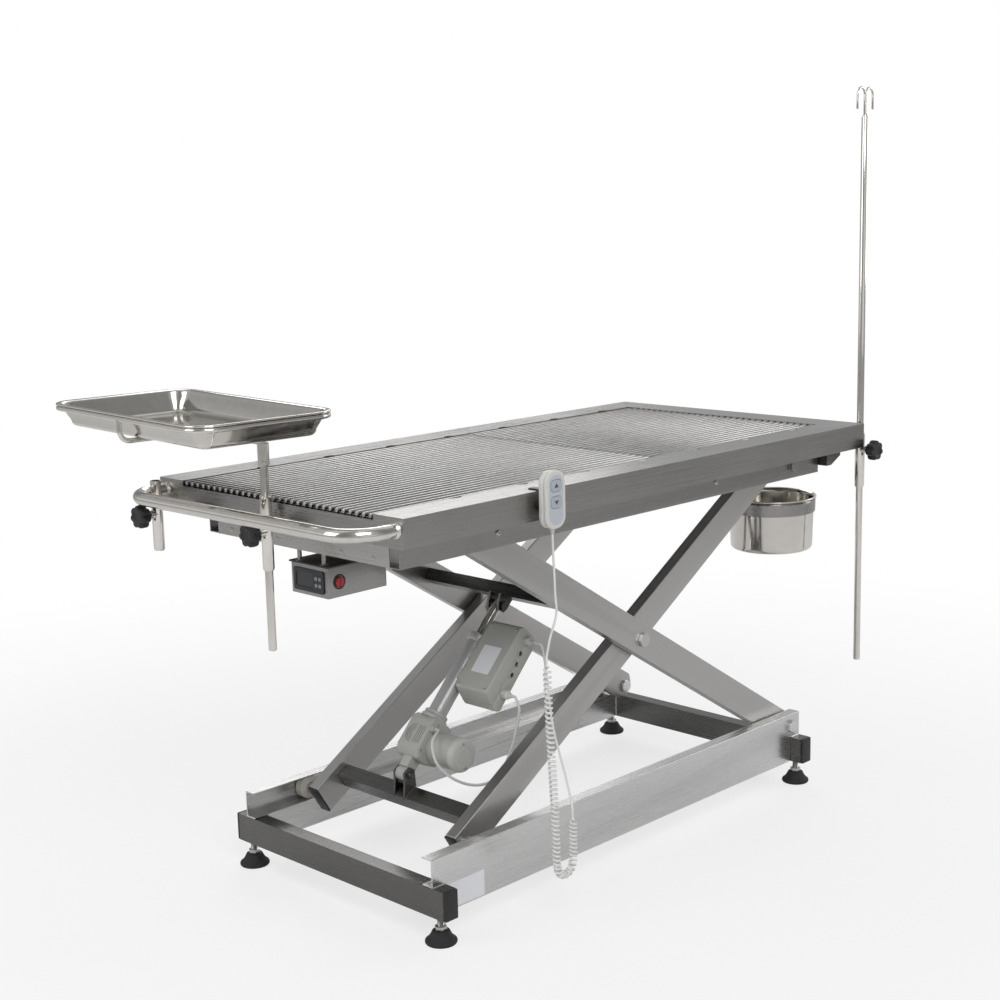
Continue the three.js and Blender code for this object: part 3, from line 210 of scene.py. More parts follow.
# A flat outline with holes, its edges rounded, about its own middle
def holed(name, outer, holes, plane, depth, soft, steps):
    curve = bpy.data.curves.new(name, "CURVE")
    curve.dimensions = "2D"
    curve.fill_mode = "BOTH"
    curve.extrude = (depth / 2 - soft) / 1000
    curve.bevel_depth = soft / 1000
    curve.bevel_resolution = steps
    curve.offset = -soft / 1000
    for ring in [outer] + [list(reversed(hole)) for hole in holes]:
        spline = curve.splines.new("POLY")
        spline.points.add(len(ring) - 1)
        for point, (a, b) in zip(spline.points, ring):
            point.co = (a / 1000, b / 1000, 0, 1)
        spline.use_cyclic_u = True
    drawn = placed(name + "_drawn", curve)
    filled = bpy.data.meshes.new_from_object(drawn.evaluated_get(bpy.context.evaluated_depsgraph_get()))
    across, up, along = [Vector(v) * 1000 for v in plane]
    points = [across * v.co.x + up * v.co.y + along * v.co.z for v in filled.vertices]
    faces = [tuple(p.vertices) for p in filled.polygons]
    bpy.data.objects.remove(drawn)
    bpy.data.curves.remove(curve)
    bpy.data.meshes.remove(filled)
    return points, faces


def shifted(shape, offset):
    points, faces = shape
    return [p + Vector(offset) for p in points], faces


# Corner points joined by straight runs and round bends
def bent(corners, radius, steps=10):
    points = [Vector(p) for p in corners]
    path = [points[0]]
    for before, corner, after in zip(points, points[1:], points[2:]):
        back = (before - corner).normalized()
        on = (after - corner).normalized()
        half = back.angle(on) / 2
        middle = corner + (back + on).normalized() * (radius / sin(half))
        start = corner + back * (radius / tan(half)) - middle
        end = corner + on * (radius / tan(half)) - middle
        whole = pi - 2 * half
        for k in range(steps + 1):
            a = whole * k / steps
            path.append(middle + (start * sin(whole - a) + end * sin(a)) / sin(whole))
    path.append(points[-1])
    return path


# A centripetal run through points, sampled evenly along its length
def flowing(points, count):
    points = [Vector(p) for p in points]
    padded = [points[0] * 2 - points[1]] + points + [points[-1] * 2 - points[-2]]
    dense = []
    for i in range(len(points) - 1):
        p0, p1, p2, p3 = padded[i : i + 4]
        d0, d1, d2 = [max((b - a).length, 1e-6) ** 0.5 for a, b in ((p0, p1), (p1, p2), (p2, p3))]
        m1 = ((p1 - p0) / d0 - (p2 - p0) / (d0 + d1) + (p2 - p1) / d1) * d1
        m2 = ((p2 - p1) / d1 - (p3 - p1) / (d1 + d2) + (p3 - p2) / d2) * d1
        for k in range(60):
            t = k / 60
            near = p1 * (2 * t**3 - 3 * t**2 + 1) + m1 * (t**3 - 2 * t**2 + t)
            dense.append(near + p2 * (3 * t**2 - 2 * t**3) + m2 * (t**3 - t**2))
    dense.append(points[-1])
    return evenly(dense, count)


def evenly(dense, count):
    reach = [0.0]
    for a, b in zip(dense, dense[1:]):
        reach.append(reach[-1] + (b - a).length)
    result, i = [], 0
    for k in range(count + 1):
        goal = reach[-1] * k / count
        while i < len(dense) - 2 and reach[i + 1] < goal:
            i += 1
        share = (goal - reach[i]) / max(reach[i + 1] - reach[i], 1e-9)
        result.append(dense[i].lerp(dense[i + 1], min(max(share, 0), 1)))
    return result


def pathLength(points):
    return sum((b - a).length for a, b in zip(points, points[1:]))


def pieceFrom(name, shapes, finish, place, smoothAngle=35):
    points, faces = [], []
    for shapePoints, shapeFaces in shapes:
        faces.extend(tuple(i + len(points) for i in f) for f in shapeFaces)
        points.extend(shapePoints)
    mesh = bpy.data.meshes.new(name)
    mesh.from_pydata([place @ Vector(p) for p in points], [], faces)
    mesh.validate()
    tidy = bmesh.new()
    tidy.from_mesh(mesh)
    bmesh.ops.recalc_face_normals(tidy, faces=tidy.faces)
    tidy.to_mesh(mesh)
    tidy.free()
    mesh.shade_smooth()
    mesh.set_sharp_from_angle(angle=radians(smoothAngle))
    mesh.materials.append(finishes[finish])
    return placed(name, mesh)


def bodyOf(node):
    return frame["nodes"][node]["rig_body"]


# A piece that stands for a CAD node and moves with its body
def standIn(name, shapes, finish, node, place=tablePlace, smoothAngle=35):
    made = pieceFrom(name, shapes, finish, place, smoothAngle)
    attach(made, bodyOf(node))
    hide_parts(node)


# A piece of detail that only moves with a body
def detail(name, shapes, finish, node, place=tablePlace):
    made = pieceFrom(name, shapes, finish, place)
    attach(made, bodyOf(node))


# Camera
cameraView = {
    "position": (-2.287935, -2.259963, 1.25212),
    "azimuth": 44.53,
    "elevation": 10.423,
    "roll": -1.338,
    "lens": 60.475,
}
azimuth, elevation, roll = [radians(cameraView[k]) for k in ("azimuth", "elevation", "roll")]
across, away = cos(elevation) * cos(azimuth), cos(elevation) * sin(azimuth)
forward = Vector((across, away, -sin(elevation)))
level = forward.cross(Vector(toSky)).normalized()
upright = level.cross(forward)
rightward = level * cos(roll) + upright * sin(roll)
upward = upright * cos(roll) - level * sin(roll)
lensData = bpy.data.cameras.new("table_camera")
lensData.lens = cameraView["lens"]
lensData.sensor_width = 36
lensData.clip_end = 60
camera = placed("table_camera", lensData)
cameraTurn = Matrix((rightward, upward, -forward)).transposed().to_4x4()
camera.matrix_world = Matrix.Translation(cameraView["position"]) @ cameraTurn
bpy.context.scene.camera = camera
print("camera placed")


# Node helpers: a socket takes a number, a colour or another node's output
def addNode(tree, kind, sockets, **settings):
    made = tree.nodes.new("ShaderNode" + kind)
    for key, value in settings.items():
        setattr(made, key, value)
    for key, value in sockets.items():
        if isinstance(value, bpy.types.NodeSocket):
            tree.links.new(value, made.inputs[key])
        else:
            made.inputs[key].default_value = value
    return made


def combined(tree, operation, a, b=0.0):
    return addNode(tree, "Math", {0: a, 1: b}, operation=operation).outputs[0]


def ranged(tree, value, fromMin, fromMax, toMin, toMax, **settings):
    limits = {"Value": value, "From Min": fromMin, "From Max": fromMax, "To Min": toMin, "To Max": toMax}
    return addNode(tree, "MapRange", limits, **settings).outputs[0]


# Finishes: grain, uneven gloss, fine relief and worn edges, all from object coordinates, and for some a
# painted shade in crevices from ambient occlusion
def finishFrom(name, settings):
    material = bpy.data.materials.new(name)
    material.use_nodes = True
    tree = material.node_tree
    shader = tree.nodes["Principled BSDF"]
    places = addNode(tree, "TexCoord", {})
    vector = places.outputs["Object"]
    if "turn" in settings:
        turn = {"Vector": vector, "Angle": settings["turn"]}
        vector = addNode(tree, "VectorRotate", turn, rotation_type="Y_AXIS").outputs["Vector"]

    def noiseOf(spots, scale, detailLevel):
        sockets = {"Vector": spots, "Scale": scale, "Detail": detailLevel, "Roughness": 0.6}
        return addNode(tree, "TexNoise", sockets).outputs["Fac"]

    def grainOf(scale):
        scale = scale if isinstance(scale, tuple) else (scale, scale, scale)
        stretched = addNode(tree, "Mapping", {"Vector": vector, "Scale": scale})
        return noiseOf(stretched.outputs["Vector"], 1.0, 5)

    fine = grainOf(settings["grain"])
    if "crossGrain" in settings:
        normal = addNode(tree, "SeparateXYZ", {0: places.outputs["Normal"]})
        endOn = combined(tree, "GREATER_THAN", combined(tree, "ABSOLUTE", normal.outputs[0]), 0.7)
        swap = {0: endOn, 2: fine, 3: grainOf(settings["crossGrain"])}
        fine = addNode(tree, "Mix", swap, data_type="FLOAT").outputs[0]
    broad = combined(tree, "MULTIPLY", noiseOf(vector, 7.0, 3), 0.3)
    mixed = combined(tree, "ADD", combined(tree, "MULTIPLY", fine, 0.7), broad)
    tree.links.new(ranged(tree, mixed, 0.34, 0.66, *settings["rough"]), shader.inputs["Roughness"])

    tone = ranged(tree, mixed, 0.3, 0.7, 1 - settings["spread"], 1 + settings["spread"])
    edges = addNode(tree, "NewGeometry", {}).outputs["Pointiness"]
    shade = combined(tree, "MULTIPLY", tone, ranged(tree, edges, 0.5, 0.58, 1.0, 1.0 + settings["wear"]))
    # Painted shade: where asked, ambient occlusion darkens the colour in crevices and between close parts
    if "hollow" in settings:
        paintedShade = addNode(tree, "AmbientOcclusion", {"Distance": settings["hollow"]}, samples=6)
        shade = combined(tree, "MULTIPLY", shade, combined(tree, "POWER", paintedShade.outputs["AO"], 1.6))
    grey = addNode(tree, "CombineColor", {0: shade, 1: shade, 2: shade})
    tint = {0: 1.0, 6: (*settings["colour"], 1), 7: grey.outputs[0]}
    colour = addNode(tree, "Mix", tint, data_type="RGBA", blend_type="MULTIPLY")
    tree.links.new(colour.outputs[2], shader.inputs["Base Color"])

    relief = addNode(tree, "Bump", {"Strength": settings["bump"], "Distance": 0.0004, "Height": fine})
    tree.links.new(relief.outputs[0], shader.inputs["Normal"])
    shader.inputs["Metallic"].default_value = settings["metal"]
    shader.inputs["Coat Weight"].default_value = settings["coat"]
    shader.inputs["Coat Roughness"].default_value = 0.15
    return material


# A finish's settings: colour, range of roughness, grain and whatever differs from the basics
def look(colour, rough, grain, **extra):
    return {"colour": colour, "rough": rough, "grain": grain, **extra}


# Grain runs along the small number's axis
alongX, alongY = (5, 620, 620), (620, 5, 620)
steelBasics = {"metal": 1.0, "coat": 0.0, "bump": 0.07, "wear": 0.25, "spread": 0.06}
steelLooks = {
    "brushed": look((0.29, 0.284, 0.275), (0.2, 0.38), alongX, crossGrain=alongY),
    "base": look((0.64, 0.635, 0.63), (0.22, 0.34), alongX, crossGrain=alongY, bump=0.035),
    "cross": look((0.13, 0.128, 0.124), (0.2, 0.36), alongY),
    "channel": look((0.38, 0.37, 0.355), (0.22, 0.4), alongY),
    # The drain pan's steel colour is darkened as painted shade, since the pan sits in shadow under the
    # grates
    "pan": look((0.2, 0.196, 0.19), (0.28, 0.45), alongX, hollow=0.05),
    "outerArm": look((0.43, 0.425, 0.415), (0.26, 0.42), alongX, turn=lift["armAngle"]),
    "innerArm": look((0.43, 0.425, 0.415), (0.26, 0.42), alongX, turn=-lift["armAngle"]),
    "polished": look((0.64, 0.62, 0.58), (0.05, 0.15), 60),
    # The grate gets painted shade between its rods from ambient occlusion
    "grate": look((0.42, 0.415, 0.4), (0.2, 0.34), (8, 300, 300), hollow=0.014),
    "zinc": look((0.5, 0.5, 0.47), (0.25, 0.45), 180),
}
plasticBasics = {"metal": 0.0, "coat": 0.0, "bump": 0.1, "wear": 0.06, "spread": 0.05}
plasticLooks = {
    "greyPlastic": look((0.43, 0.43, 0.405), (0.42, 0.58), 900, bump=0.16),
    "capGrey": look((0.52, 0.52, 0.49), (0.4, 0.55), 900, bump=0.12),
    "tubeGrey": look((0.44, 0.45, 0.44), (0.28, 0.42), 400, metal=0.35),
    "blackPlastic": look((0.014, 0.014, 0.015), (0.3, 0.5), 700, bump=0.2),
    "rubber": look((0.018, 0.018, 0.018), (0.6, 0.85), 500, bump=0.3),
    "whitePlastic": look((0.66, 0.655, 0.62), (0.3, 0.45), 800, coat=0.15),
    "membrane": look((0.5, 0.53, 0.58), (0.3, 0.45), 900, bump=0.06),
    "keyGrey": look((0.42, 0.45, 0.5), (0.35, 0.5), 900, bump=0.06),
    "keySign": look((0.06, 0.065, 0.075), (0.4, 0.55), 900, bump=0.04),
    "darkPanel": look((0.022, 0.023, 0.026), (0.28, 0.42), 700),
    "display": look((0.008, 0.006, 0.006), (0.06, 0.14), 200, coat=0.5),
    "panelKey": look((0.3, 0.31, 0.32), (0.4, 0.55), 800),
    "red": look((0.42, 0.012, 0.016), (0.2, 0.34), 500, coat=0.3),
    "nylon": look((0.6, 0.58, 0.52), (0.45, 0.62), 400, bump=0.12),
    "cord": look((0.8, 0.8, 0.78), (0.4, 0.56), 500),
    "cable": look((0.68, 0.68, 0.65), (0.4, 0.56), 500),
    "lidDark": look((0.08, 0.076, 0.07), (0.3, 0.5), (620, 8, 620), metal=0.9),
    "sticker": look((0.8, 0.81, 0.84), (0.35, 0.5), 300, bump=0.04),
    "ventGrey": look((0.2, 0.2, 0.19), (0.45, 0.6), 600),
    # Dark colour for painted shade in screw recesses and socket holes
    "socketDark": look((0.03, 0.03, 0.032), (0.4, 0.6), 600),
}
finishes = {key: finishFrom("steel_" + key, {**steelBasics, **row}) for key, row in steelLooks.items()}
for key, row in plasticLooks.items():
    finishes[key] = finishFrom(key, {**plasticBasics, **row})
print("finishes ready")


def cordPiece(name, points, radius, sides, finish, nodes, place=tablePlace):
    made = pieceFrom(name, [tube(points, radius, sides)], finish, place, 80)
    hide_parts(*nodes)
    return made, [place @ p for p in points]


# Handset cord: straight from the handset, one long curl with a low bend, then straight to its plug
cordLook = {"radius": 2.0, "curlRadius": 5.7, "curls": 62, "steps": 16, "sides": 8, "followHeight": 190}
handset = {"x": -336, "width": 48, "height": 98, "corner": 21, "aboveTop": 36, "front": -357.3}
handsetX, cordY = handset["x"], -347.3
handsetBottom = topZ + handset["aboveTop"] - handset["height"]
handsetMiddle = handsetBottom + handset["height"] / 2
reliefEnd = Vector((handsetX, cordY, handsetBottom - 10))
curlTop = Vector((handsetX - 20, cordY, handsetBottom - 226))
bendX, bendZ, bendRadius = handsetX + 18, handsetBottom - 598, 20
curlEnd = Vector((bendX + bendRadius + 1, cordY, bendZ + 82))
lowBend = [(x, cordY, z) for x, z in sweep(bendX, bendZ, bendRadius, bendRadius, 180, 360, 5)]
upperRoute = [
    reliefEnd + Vector((0, 0, -8)),
    (handsetX + 4, cordY, handsetBottom - 110),
    (handsetX + 6, cordY, handsetBottom - 150),
    (handsetX - 10, cordY, handsetBottom - 186),
    curlTop + Vector((0, 0, 8)),
]
curlRoute = [curlTop, (handsetX - 15, cordY, bendZ + 250), (handsetX - 6, cordY, bendZ + 100)]
curlAxis = flowing(curlRoute + lowBend + [curlEnd], 2400)


def curlPoints():
    turns = cordLook["curls"]
    steps = turns * cordLook["steps"]
    last = len(curlAxis) - 1
    lead = 2 * cordLook["radius"] / pathLength(curlAxis)
    sideways = Vector(toBack)
    points = []
    for i in range(steps + 1):
        t = i / steps
        along = lead + (1 - 2 * lead) * (1.13 * t - 0.13 * t * t)  # the top curls are pulled open a little
        swell = min(1, t * turns / 1.5, (1 - t) * turns / 1.5)
        spot = min(along, 1) * last
        low = min(int(spot), last - 1)
        middle = curlAxis[low].lerp(curlAxis[low + 1], spot - low)
        ahead = curlAxis[min(low + 4, last)] - curlAxis[max(low - 3, 0)]
        outward = sideways.cross(ahead.normalized())
        a = 2 * pi * turns * t
        reach = swell * cordLook["curlRadius"]
        points.append(middle + sideways * (reach * cos(a)) + outward * (reach * sin(a)))
    return points


plugTip = tablePlace.inverted() @ actuatorPlace @ Vector((316, -127.6, -8))
outFromPlug = plugTip + Vector((0, -22, 0))
lowerRoute = [
    curlEnd,
    curlEnd + Vector((0, 0, 12)),
    curlEnd.lerp(outFromPlug, 0.22) + Vector((-12, -10, 6)),
    curlEnd.lerp(outFromPlug, 0.5) + Vector((-12, 0, 6)),
    curlEnd.lerp(outFromPlug, 0.8) + Vector((-6, 0, 8)),
    outFromPlug + Vector((-3, -2, -10)),
    outFromPlug + Vector((0, 5, -1)),
    plugTip + Vector((0, -6, 0)),
    plugTip,
]
longStrand = [reliefEnd] + flowing(upperRoute, 50) + [curlTop] + curlPoints() + [curlEnd]
cordRadius, strandNodes = cordLook["radius"], ("cord_upper", "cord_curl")
strand, strandPath = cordPiece(
    "handset_cord_curled", longStrand, cordRadius, cordLook["sides"], "cord", strandNodes
)
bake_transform(strand)
lowerCord = flowing(lowerRoute, 90)
tail, tailPath = cordPiece("handset_cord_tail", lowerCord, cordRadius, 12, "cord", ("cord_lower",))
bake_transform(tail)

cableRadius = 2.6
cableRoute = [
    (92, -34.3, 17),
    (92, -42.3, 17),
    (62, -56, 29),
    (34, -72, 10),
    (26, -92, -26),
    (36, -110, -62),
    (56, -124, -82),
    (84, -134, -86),
    (124, -138, -78),
    (166, -140, -60),
    (194, -144, -38),
    (208, -135.6, -24),
    (208, -127.6, -24),
]
cablePoints = [Vector(cableRoute[0])] + flowing(cableRoute[1:-1], 90) + [Vector(cableRoute[-1])]
cableNodes = ("motor_cable",)
cable, cablePath = cordPiece("motor_lead", cablePoints, cableRadius, 12, "cable", cableNodes, actuatorPlace)
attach(cable, "actuator")
print("cords laid")

# Bar grates: round rods on flat cross bars
grateLook = {"radius": 4, "pitch": 16.4, "count": 31, "halfWidth": 253.5, "belowTop": 0.8}
crossBar = {"width": 16, "thickness": 5, "belowTop": 17}
rodZ = topZ - grateLook["belowTop"] - grateLook["radius"]
for side, start, end, crossAt in (("left", -649, 57.7, (-629, 22)), ("right", 58.3, 578.5, (78, 542.5))):
    rods = []
    for i in range(grateLook["count"]):
        y = (i - (grateLook["count"] - 1) / 2) * grateLook["pitch"]
        rods.append(tube([(start, y, rodZ), (end, y, rodZ)], grateLook["radius"], 12, soft=1.2))
    for x in crossAt:
        low = (x, -grateLook["halfWidth"], topZ - crossBar["belowTop"])
        high = (x + crossBar["width"], grateLook["halfWidth"], low[2] + crossBar["thickness"])
        rods.append(block(low, high, 0.8))
    standIn("grate_rods_" + side, rods, "grate", "grate_" + side)

# End handle with weld collars on the end plate
handle = {"reach": -735, "halfSpan": 306, "radius": 12, "bend": 60}
plateFace, handleZ = -650.3, topZ - 21
corners = [(plateFace, -1), (handle["reach"], -1), (handle["reach"], 1), (plateFace, 1)]
handlePath = bent([(x, side * handle["halfSpan"], handleZ) for x, side in corners], handle["bend"], 18)
handleShapes = [tube(handlePath, handle["radius"], 28)]
collar = [(11.5, 6), (12.2, 6), (13.2, 4.6), (14.6, 2.2), (15.2, 0.6), (15.2, 0), (11.5, 0)]
for y in (-handle["halfSpan"], handle["halfSpan"]):
    handleShapes.append(turned(collar, (plateFace, y, handleZ), toLeft, 28, True))
standIn("handle_tube", handleShapes, "polished", "end_handle")
print("grates and handle done")


# Accessory sockets: bored tube and threaded boss
def socketShapes(at, bossZ):
    top, bottom = at["top"], at["bottom"]
    wall = [(7.3, bottom), (7.3, top), (9.2, top), (10, top - 0.8), (10, bottom + 3.5), (8.6, bottom)]
    boss = [(4.3, 2), (4.3, 18), (7.2, 18), (8, 17.2), (8, 8), (9.4, 2)]
    return [
        turned(wall, (at["x"], at["y"], 0), sides=36, looped=True),
        turned(boss, (at["x"], at["y"], bossZ), at["toward"], 28, True),
    ]


knobLook = {"radius": 21, "lobes": 7, "scallop": 0.2, "points": 84}


def knobShapes(origin, toward):
    axis, up = Vector(toward), Vector(toSky)
    side = axis.cross(up)
    heights = [(0.62, 25.2), (0.88, 25.6), (0.97, 27.4), (1.0, 30), (1.0, 39.5)]
    heights += [(0.965, 42.6), (0.87, 44.4), (0.6, 44.8), (0.52, 43.6), (0.3, 43.3)]
    rings = []
    for share, height in heights:
        depth = knobLook["scallop"] * min(1, max(0, share - 0.45) * 2.5)
        ring = []
        for k in range(knobLook["points"]):
            a = 2 * pi * k / knobLook["points"]
            dip = (0.5 - 0.5 * cos(knobLook["lobes"] * a)) ** 1.6
            r = knobLook["radius"] * share * (1 - depth * dip)
            ring.append(Vector(origin) + axis * height + up * (r * cos(a)) + side * (r * sin(a)))
        rings.append(ring)
    neck = [(0, 18.3), (8, 18.3), (9, 19.2), (9, 24), (11, 25.4), (0, 25.6)]
    return [skin(rings), turned(neck, origin, toward, 28)]


def studShape(origin, toward, start, end, radius, pitch=1.5):
    profile = [(0, start)]
    h = start
    while h < end - pitch:
        profile += [(radius, h + 0.2), (radius - 0.6, h + pitch / 2)]
        h += pitch
    profile += [(radius, end), (0, end)]
    return turned(profile, origin, toward, 20)


knobZ = topZ - 57
sockets = {
    "middle": {"x": -668, "y": -6, "top": topZ + 3, "bottom": topZ - 123, "toward": toLeft},
    "corner": {"x": -690, "y": 280, "top": topZ + 3, "bottom": topZ - 123, "toward": toLeft},
    "pole": {"x": 663.6, "y": -307, "top": topZ - 24, "bottom": topZ - 138, "toward": toFront},
}
for place, at in sockets.items():
    x, y, toward = at["x"], at["y"], at["toward"]
    if place == "pole":
        tab = block((-plateFace, y - 4, rimBottom + 2), (x - 8, y + 4, rimBottom + 22), 0.8)
    else:
        tab = block((x + 8, y - 4, handleZ - 26), (plateFace, y + 4, handleZ - 2), 0.8)
    shapes = socketShapes(at, knobZ) + [tab]
    standIn("socket_tube_" + place, shapes, "polished", "socket_" + place)
    standIn("clamp_knob_" + place, knobShapes((x, y, knobZ), toward), "blackPlastic", "knob_" + place)
    stud = studShape((x, y, knobZ), toward, 7.4, 18.3, 4)
    detail("clamp_stud_" + place, [stud], "zinc", "knob_" + place)

# Drip pole and its double hook
pole = {"x": sockets["pole"]["x"], "y": sockets["pole"]["y"], "radius": 7, "low": 514, "high": 626}
poleX, poleY = pole["x"], pole["y"]
poleEnds = [(poleX, poleY, topZ - pole["low"]), (poleX, poleY, topZ + pole["high"])]
poleShapes = [tube(poleEnds, pole["radius"], 28, soft=1.2)]
hookTop = topZ + 681.5
for side in (-1, 1):
    near, far = poleX + side * 1.6, poleX + side * 28
    corners = [(near, topZ + 618), (near, hookTop), (far, hookTop), (far, hookTop - 42.5)]
    poleShapes.append(tube(bent([(x, poleY, z) for x, z in corners], 12.9, 12), 2.5, 16, soft=1.4))
cap = [(0, 625), (6.2, 625), (6, 627.5), (4.6, 629.6), (0, 630.2)]
poleShapes.append(turned(cap, (poleX, poleY, topZ), sides=28))
standIn("drip_pole", poleShapes, "polished", "iv_pole")

# Instrument tray: rolled rim, sloping walls, round corners
trayLook = {"halfX": 140, "halfY": 255, "corner": 45, "wall": 10.3, "taper": 16, "depth": 43, "turn": -4.7}
postSpot = (sockets["middle"]["x"], sockets["middle"]["y"], 0)
trayTurn = Matrix.Rotation(radians(trayLook["turn"]), 4, "Z")
trayPlace = tablePlace @ Matrix.Translation(postSpot) @ trayTurn
trayMiddle = (-20, 196)
trayTop = topZ + 141
trayFloor = trayTop - trayLook["depth"]
wall = trayLook["wall"]
foot = wall + trayLook["taper"]
trayProfile = sweep(foot + 11, trayFloor + 11, 12, -11, 90, 180, 6)
trayProfile += [(wall + 3, trayTop - 13), (wall + 0.4, trayTop - 6), (wall - 1.2, trayTop - 4.2)]
trayProfile += sweep(2, trayTop - 2, -2, 2, -90, 90, 6)
trayProfile += [(wall - 2.2, trayTop - 1), (wall + 0.6, trayTop - 1.6), (wall + 2.4, trayTop - 4.6)]
trayProfile += [(wall + 5, trayTop - 13)]
trayProfile += sweep(foot + 13, trayFloor + 13, 12, -11, 180, 90, 6)
trayProfile += [(foot + 40, trayFloor + 2.0), (foot + 44, trayFloor + 2.3)]
trayRings = []
for inset, z in trayProfile:
    sides = (2 * (trayLook["halfX"] - inset), 2 * (trayLook["halfY"] - inset))
    outline = roundedOutline(*sides, max(trayLook["corner"] - inset, 9), 12, *trayMiddle)
    trayRings.append([Vector((x, y, z)) for x, y in outline])
standIn("instrument_tray", [skin(trayRings)], "polished", "tray", trayPlace, 50)

# The tray's swinging frame and its post
ringZ, underZ, rodRadius = trayTop - 8.8, trayFloor - 4.8, 4.5
ringOutline = roundedOutline(271, 501, 40.5, 12, *trayMiddle)
crossCorners = ((-155.5, ringZ), (-155.5, underZ), (115.5, underZ), (115.5, ringZ))
crossRod = [(x, trayMiddle[1], z) for x, z in crossCorners]
longRod = [(0, 0, underZ), (0, 200, underZ)]
frameShapes = [tube([(x, y, ringZ) for x, y in ringOutline], rodRadius, 16, looped=True)]
frameShapes += [tube(bent(run, 18, 10), rodRadius, 16) for run in (crossRod, longRod)]
hub = [(7.3, -30), (7.3, -3), (0, -3), (0, 0), (8.9, 0), (9.7, -1), (9.7, -29), (8.9, -30)]
frameShapes.append(turned(hub, (0, 0, underZ), sides=32, looped=True))
standIn("tray_carrier", frameShapes, "polished", "tray_frame", trayPlace)
postProfile = [(0, topZ - 262), (5.8, topZ - 262), (7, topZ - 260.8), (7, underZ - 38)]
postProfile += [(9.2, underZ - 38), (10, underZ - 37.2), (10, underZ - 31), (9.2, underZ - 30.3)]
postProfile += [(7, underZ - 30.3), (7, underZ - 4), (0, underZ - 4)]
standIn("tray_column", [turned(postProfile, postSpot, sides=32)], "polished", "tray_post")
print("pole and tray done")

# Bucket and the band that holds it
bucket = {"x": 575, "y": -146, "belowTop": 159, "height": 115, "floorRadius": 86.5, "taper": 3.5}
bucketSpot = (bucket["x"], bucket["y"], 0)
bucketTop = topZ - bucket["belowTop"]
bucketFloor = bucketTop - bucket["height"]


def bucketRadius(z):
    return bucket["floorRadius"] + (z - bucketFloor) * bucket["taper"] / bucket["height"]


bucketProfile = [(0, bucketFloor + 1.4), (64, bucketFloor + 1.4), (68, bucketFloor + 0.2), (77, bucketFloor)]
bucketProfile += sweep(77, bucketFloor + 9, 9.7, 9, -90, 0, 5)[1:]
bucketProfile.append((bucketRadius(bucketTop - 7), bucketTop - 7))
bucketProfile += [(90.2, bucketTop - 4.5), (91.5, bucketTop - 3.6)]
bucketProfile += sweep(93.2, bucketTop - 1.8, 1.8, 1.8, -90, 90, 6)
bucketProfile += [(90.5, bucketTop - 0.6), (88.4, bucketTop - 3.6)]
bucketProfile.append((bucketRadius(bucketTop - 10) - 2, bucketTop - 10))
bucketProfile += sweep(76, bucketFloor + 11.4, 8.7, 9, 0, -90, 5)
bucketProfile.append((0, bucketFloor + 3.4))
bucketShape = turned(bucketProfile, bucketSpot, sides=96)
standIn("waste_bucket", [bucketShape], "polished", "bucket", smoothAngle=50)
bandTop, bandBottom = bucketTop - 8, bucketTop - 33
inside, outside = bucketRadius(bandBottom), bucketRadius(bandTop)
band = [(inside + 0.3, bandBottom), (outside + 0.3, bandTop), (outside + 2.8, bandTop)]
band += [(outside + 3.3, bandTop - 0.6), (inside + 3.3, bandBottom + 0.6), (inside + 2.8, bandBottom)]
strapLeft, strapRight, strapBack = bucket["x"] - 12, bucket["x"] + 12, bucket["y"] + 99
strapLow = bandBottom + 2
bandShapes = [
    turned(band, bucketSpot, sides=96, looped=True),
    block((strapLeft, bucket["y"] + 91.2, strapLow), (strapRight, strapBack, bandTop - 2), 0.8),
    block((strapLeft, bucket["y"] + 96, strapLow), (strapRight, strapBack, railBottom - lift["seat"]), 0.8),
]
standIn("bucket_band", bandShapes, "brushed", "bucket_ring")
print("bucket done")

# Levelling feet: rounded rubber pad, lock nut and threaded stud
baseEnds = {"left": -534, "right": 511}
footPad = [(0, 0), (24, 0), (26.6, 0.6), (27.8, 2.4), (28, 4.5), (27.2, 6.4), (24.6, 8.2)]
footPad += [(21.4, 11.5), (18.6, 15.6), (16.4, 20), (15.2, 22.4), (13.4, 23.2), (0, 23.2)]
nutRadius = 11
for end, x in baseEnds.items():
    for place, y in (("front", -257), ("back", 257)):
        corner = place + "_" + end
        node = "levelling_foot_" + corner
        standIn("foot_pad_" + corner, [turned(footPad, (x, y, 0), sides=48)], "rubber", node)
        nut = plate(sweep(x, y, nutRadius, nutRadius, 0, 300, 5), planeXy, 23.4, 7.6, 0.9, 2)
        stud = studShape((x, y, 0), toSky, 30, 80, 6, 1.75)
        detail("foot_stud_" + corner, [nut, stud], "zinc", node)

# Black caps in the open tube ends
for end, x in baseEnds.items():
    face = roundedOutline(30.6, 52.6, 2.5, 4, x, 74)
    plug = roundedOutline(24.4, 46.4, 2, 3, x, 74)
    caps = []
    for faceAt, plugAt in ((-285.2, -280.3), (280.2, 268)):
        caps += [plate(face, planeXz, faceAt, 5, 1.2, 3), plate(plug, planeXz, plugAt, 12.3)]
    detail("base_tube_caps_" + end, caps, "blackPlastic", "base_cross_tube_" + end)
for kind, place, middle in (("outer", outerPlace, 215), ("inner", innerPlace, 187.5)):
    for where, side in (("front", -1), ("back", 1)):
        flange = plate(roundedOutline(25, 60, 2, 3, side * middle, 0), planeYz, -552.4, 4.2, 1, 2)
        plug = plate(roundedOutline(19.4, 54.4, 1.5, 3, side * middle, 0), planeYz, -548.6, 12)
        detail(kind + "_arm_cap_" + where, [flange, plug], "blackPlastic", kind + "_arm_" + where, place)

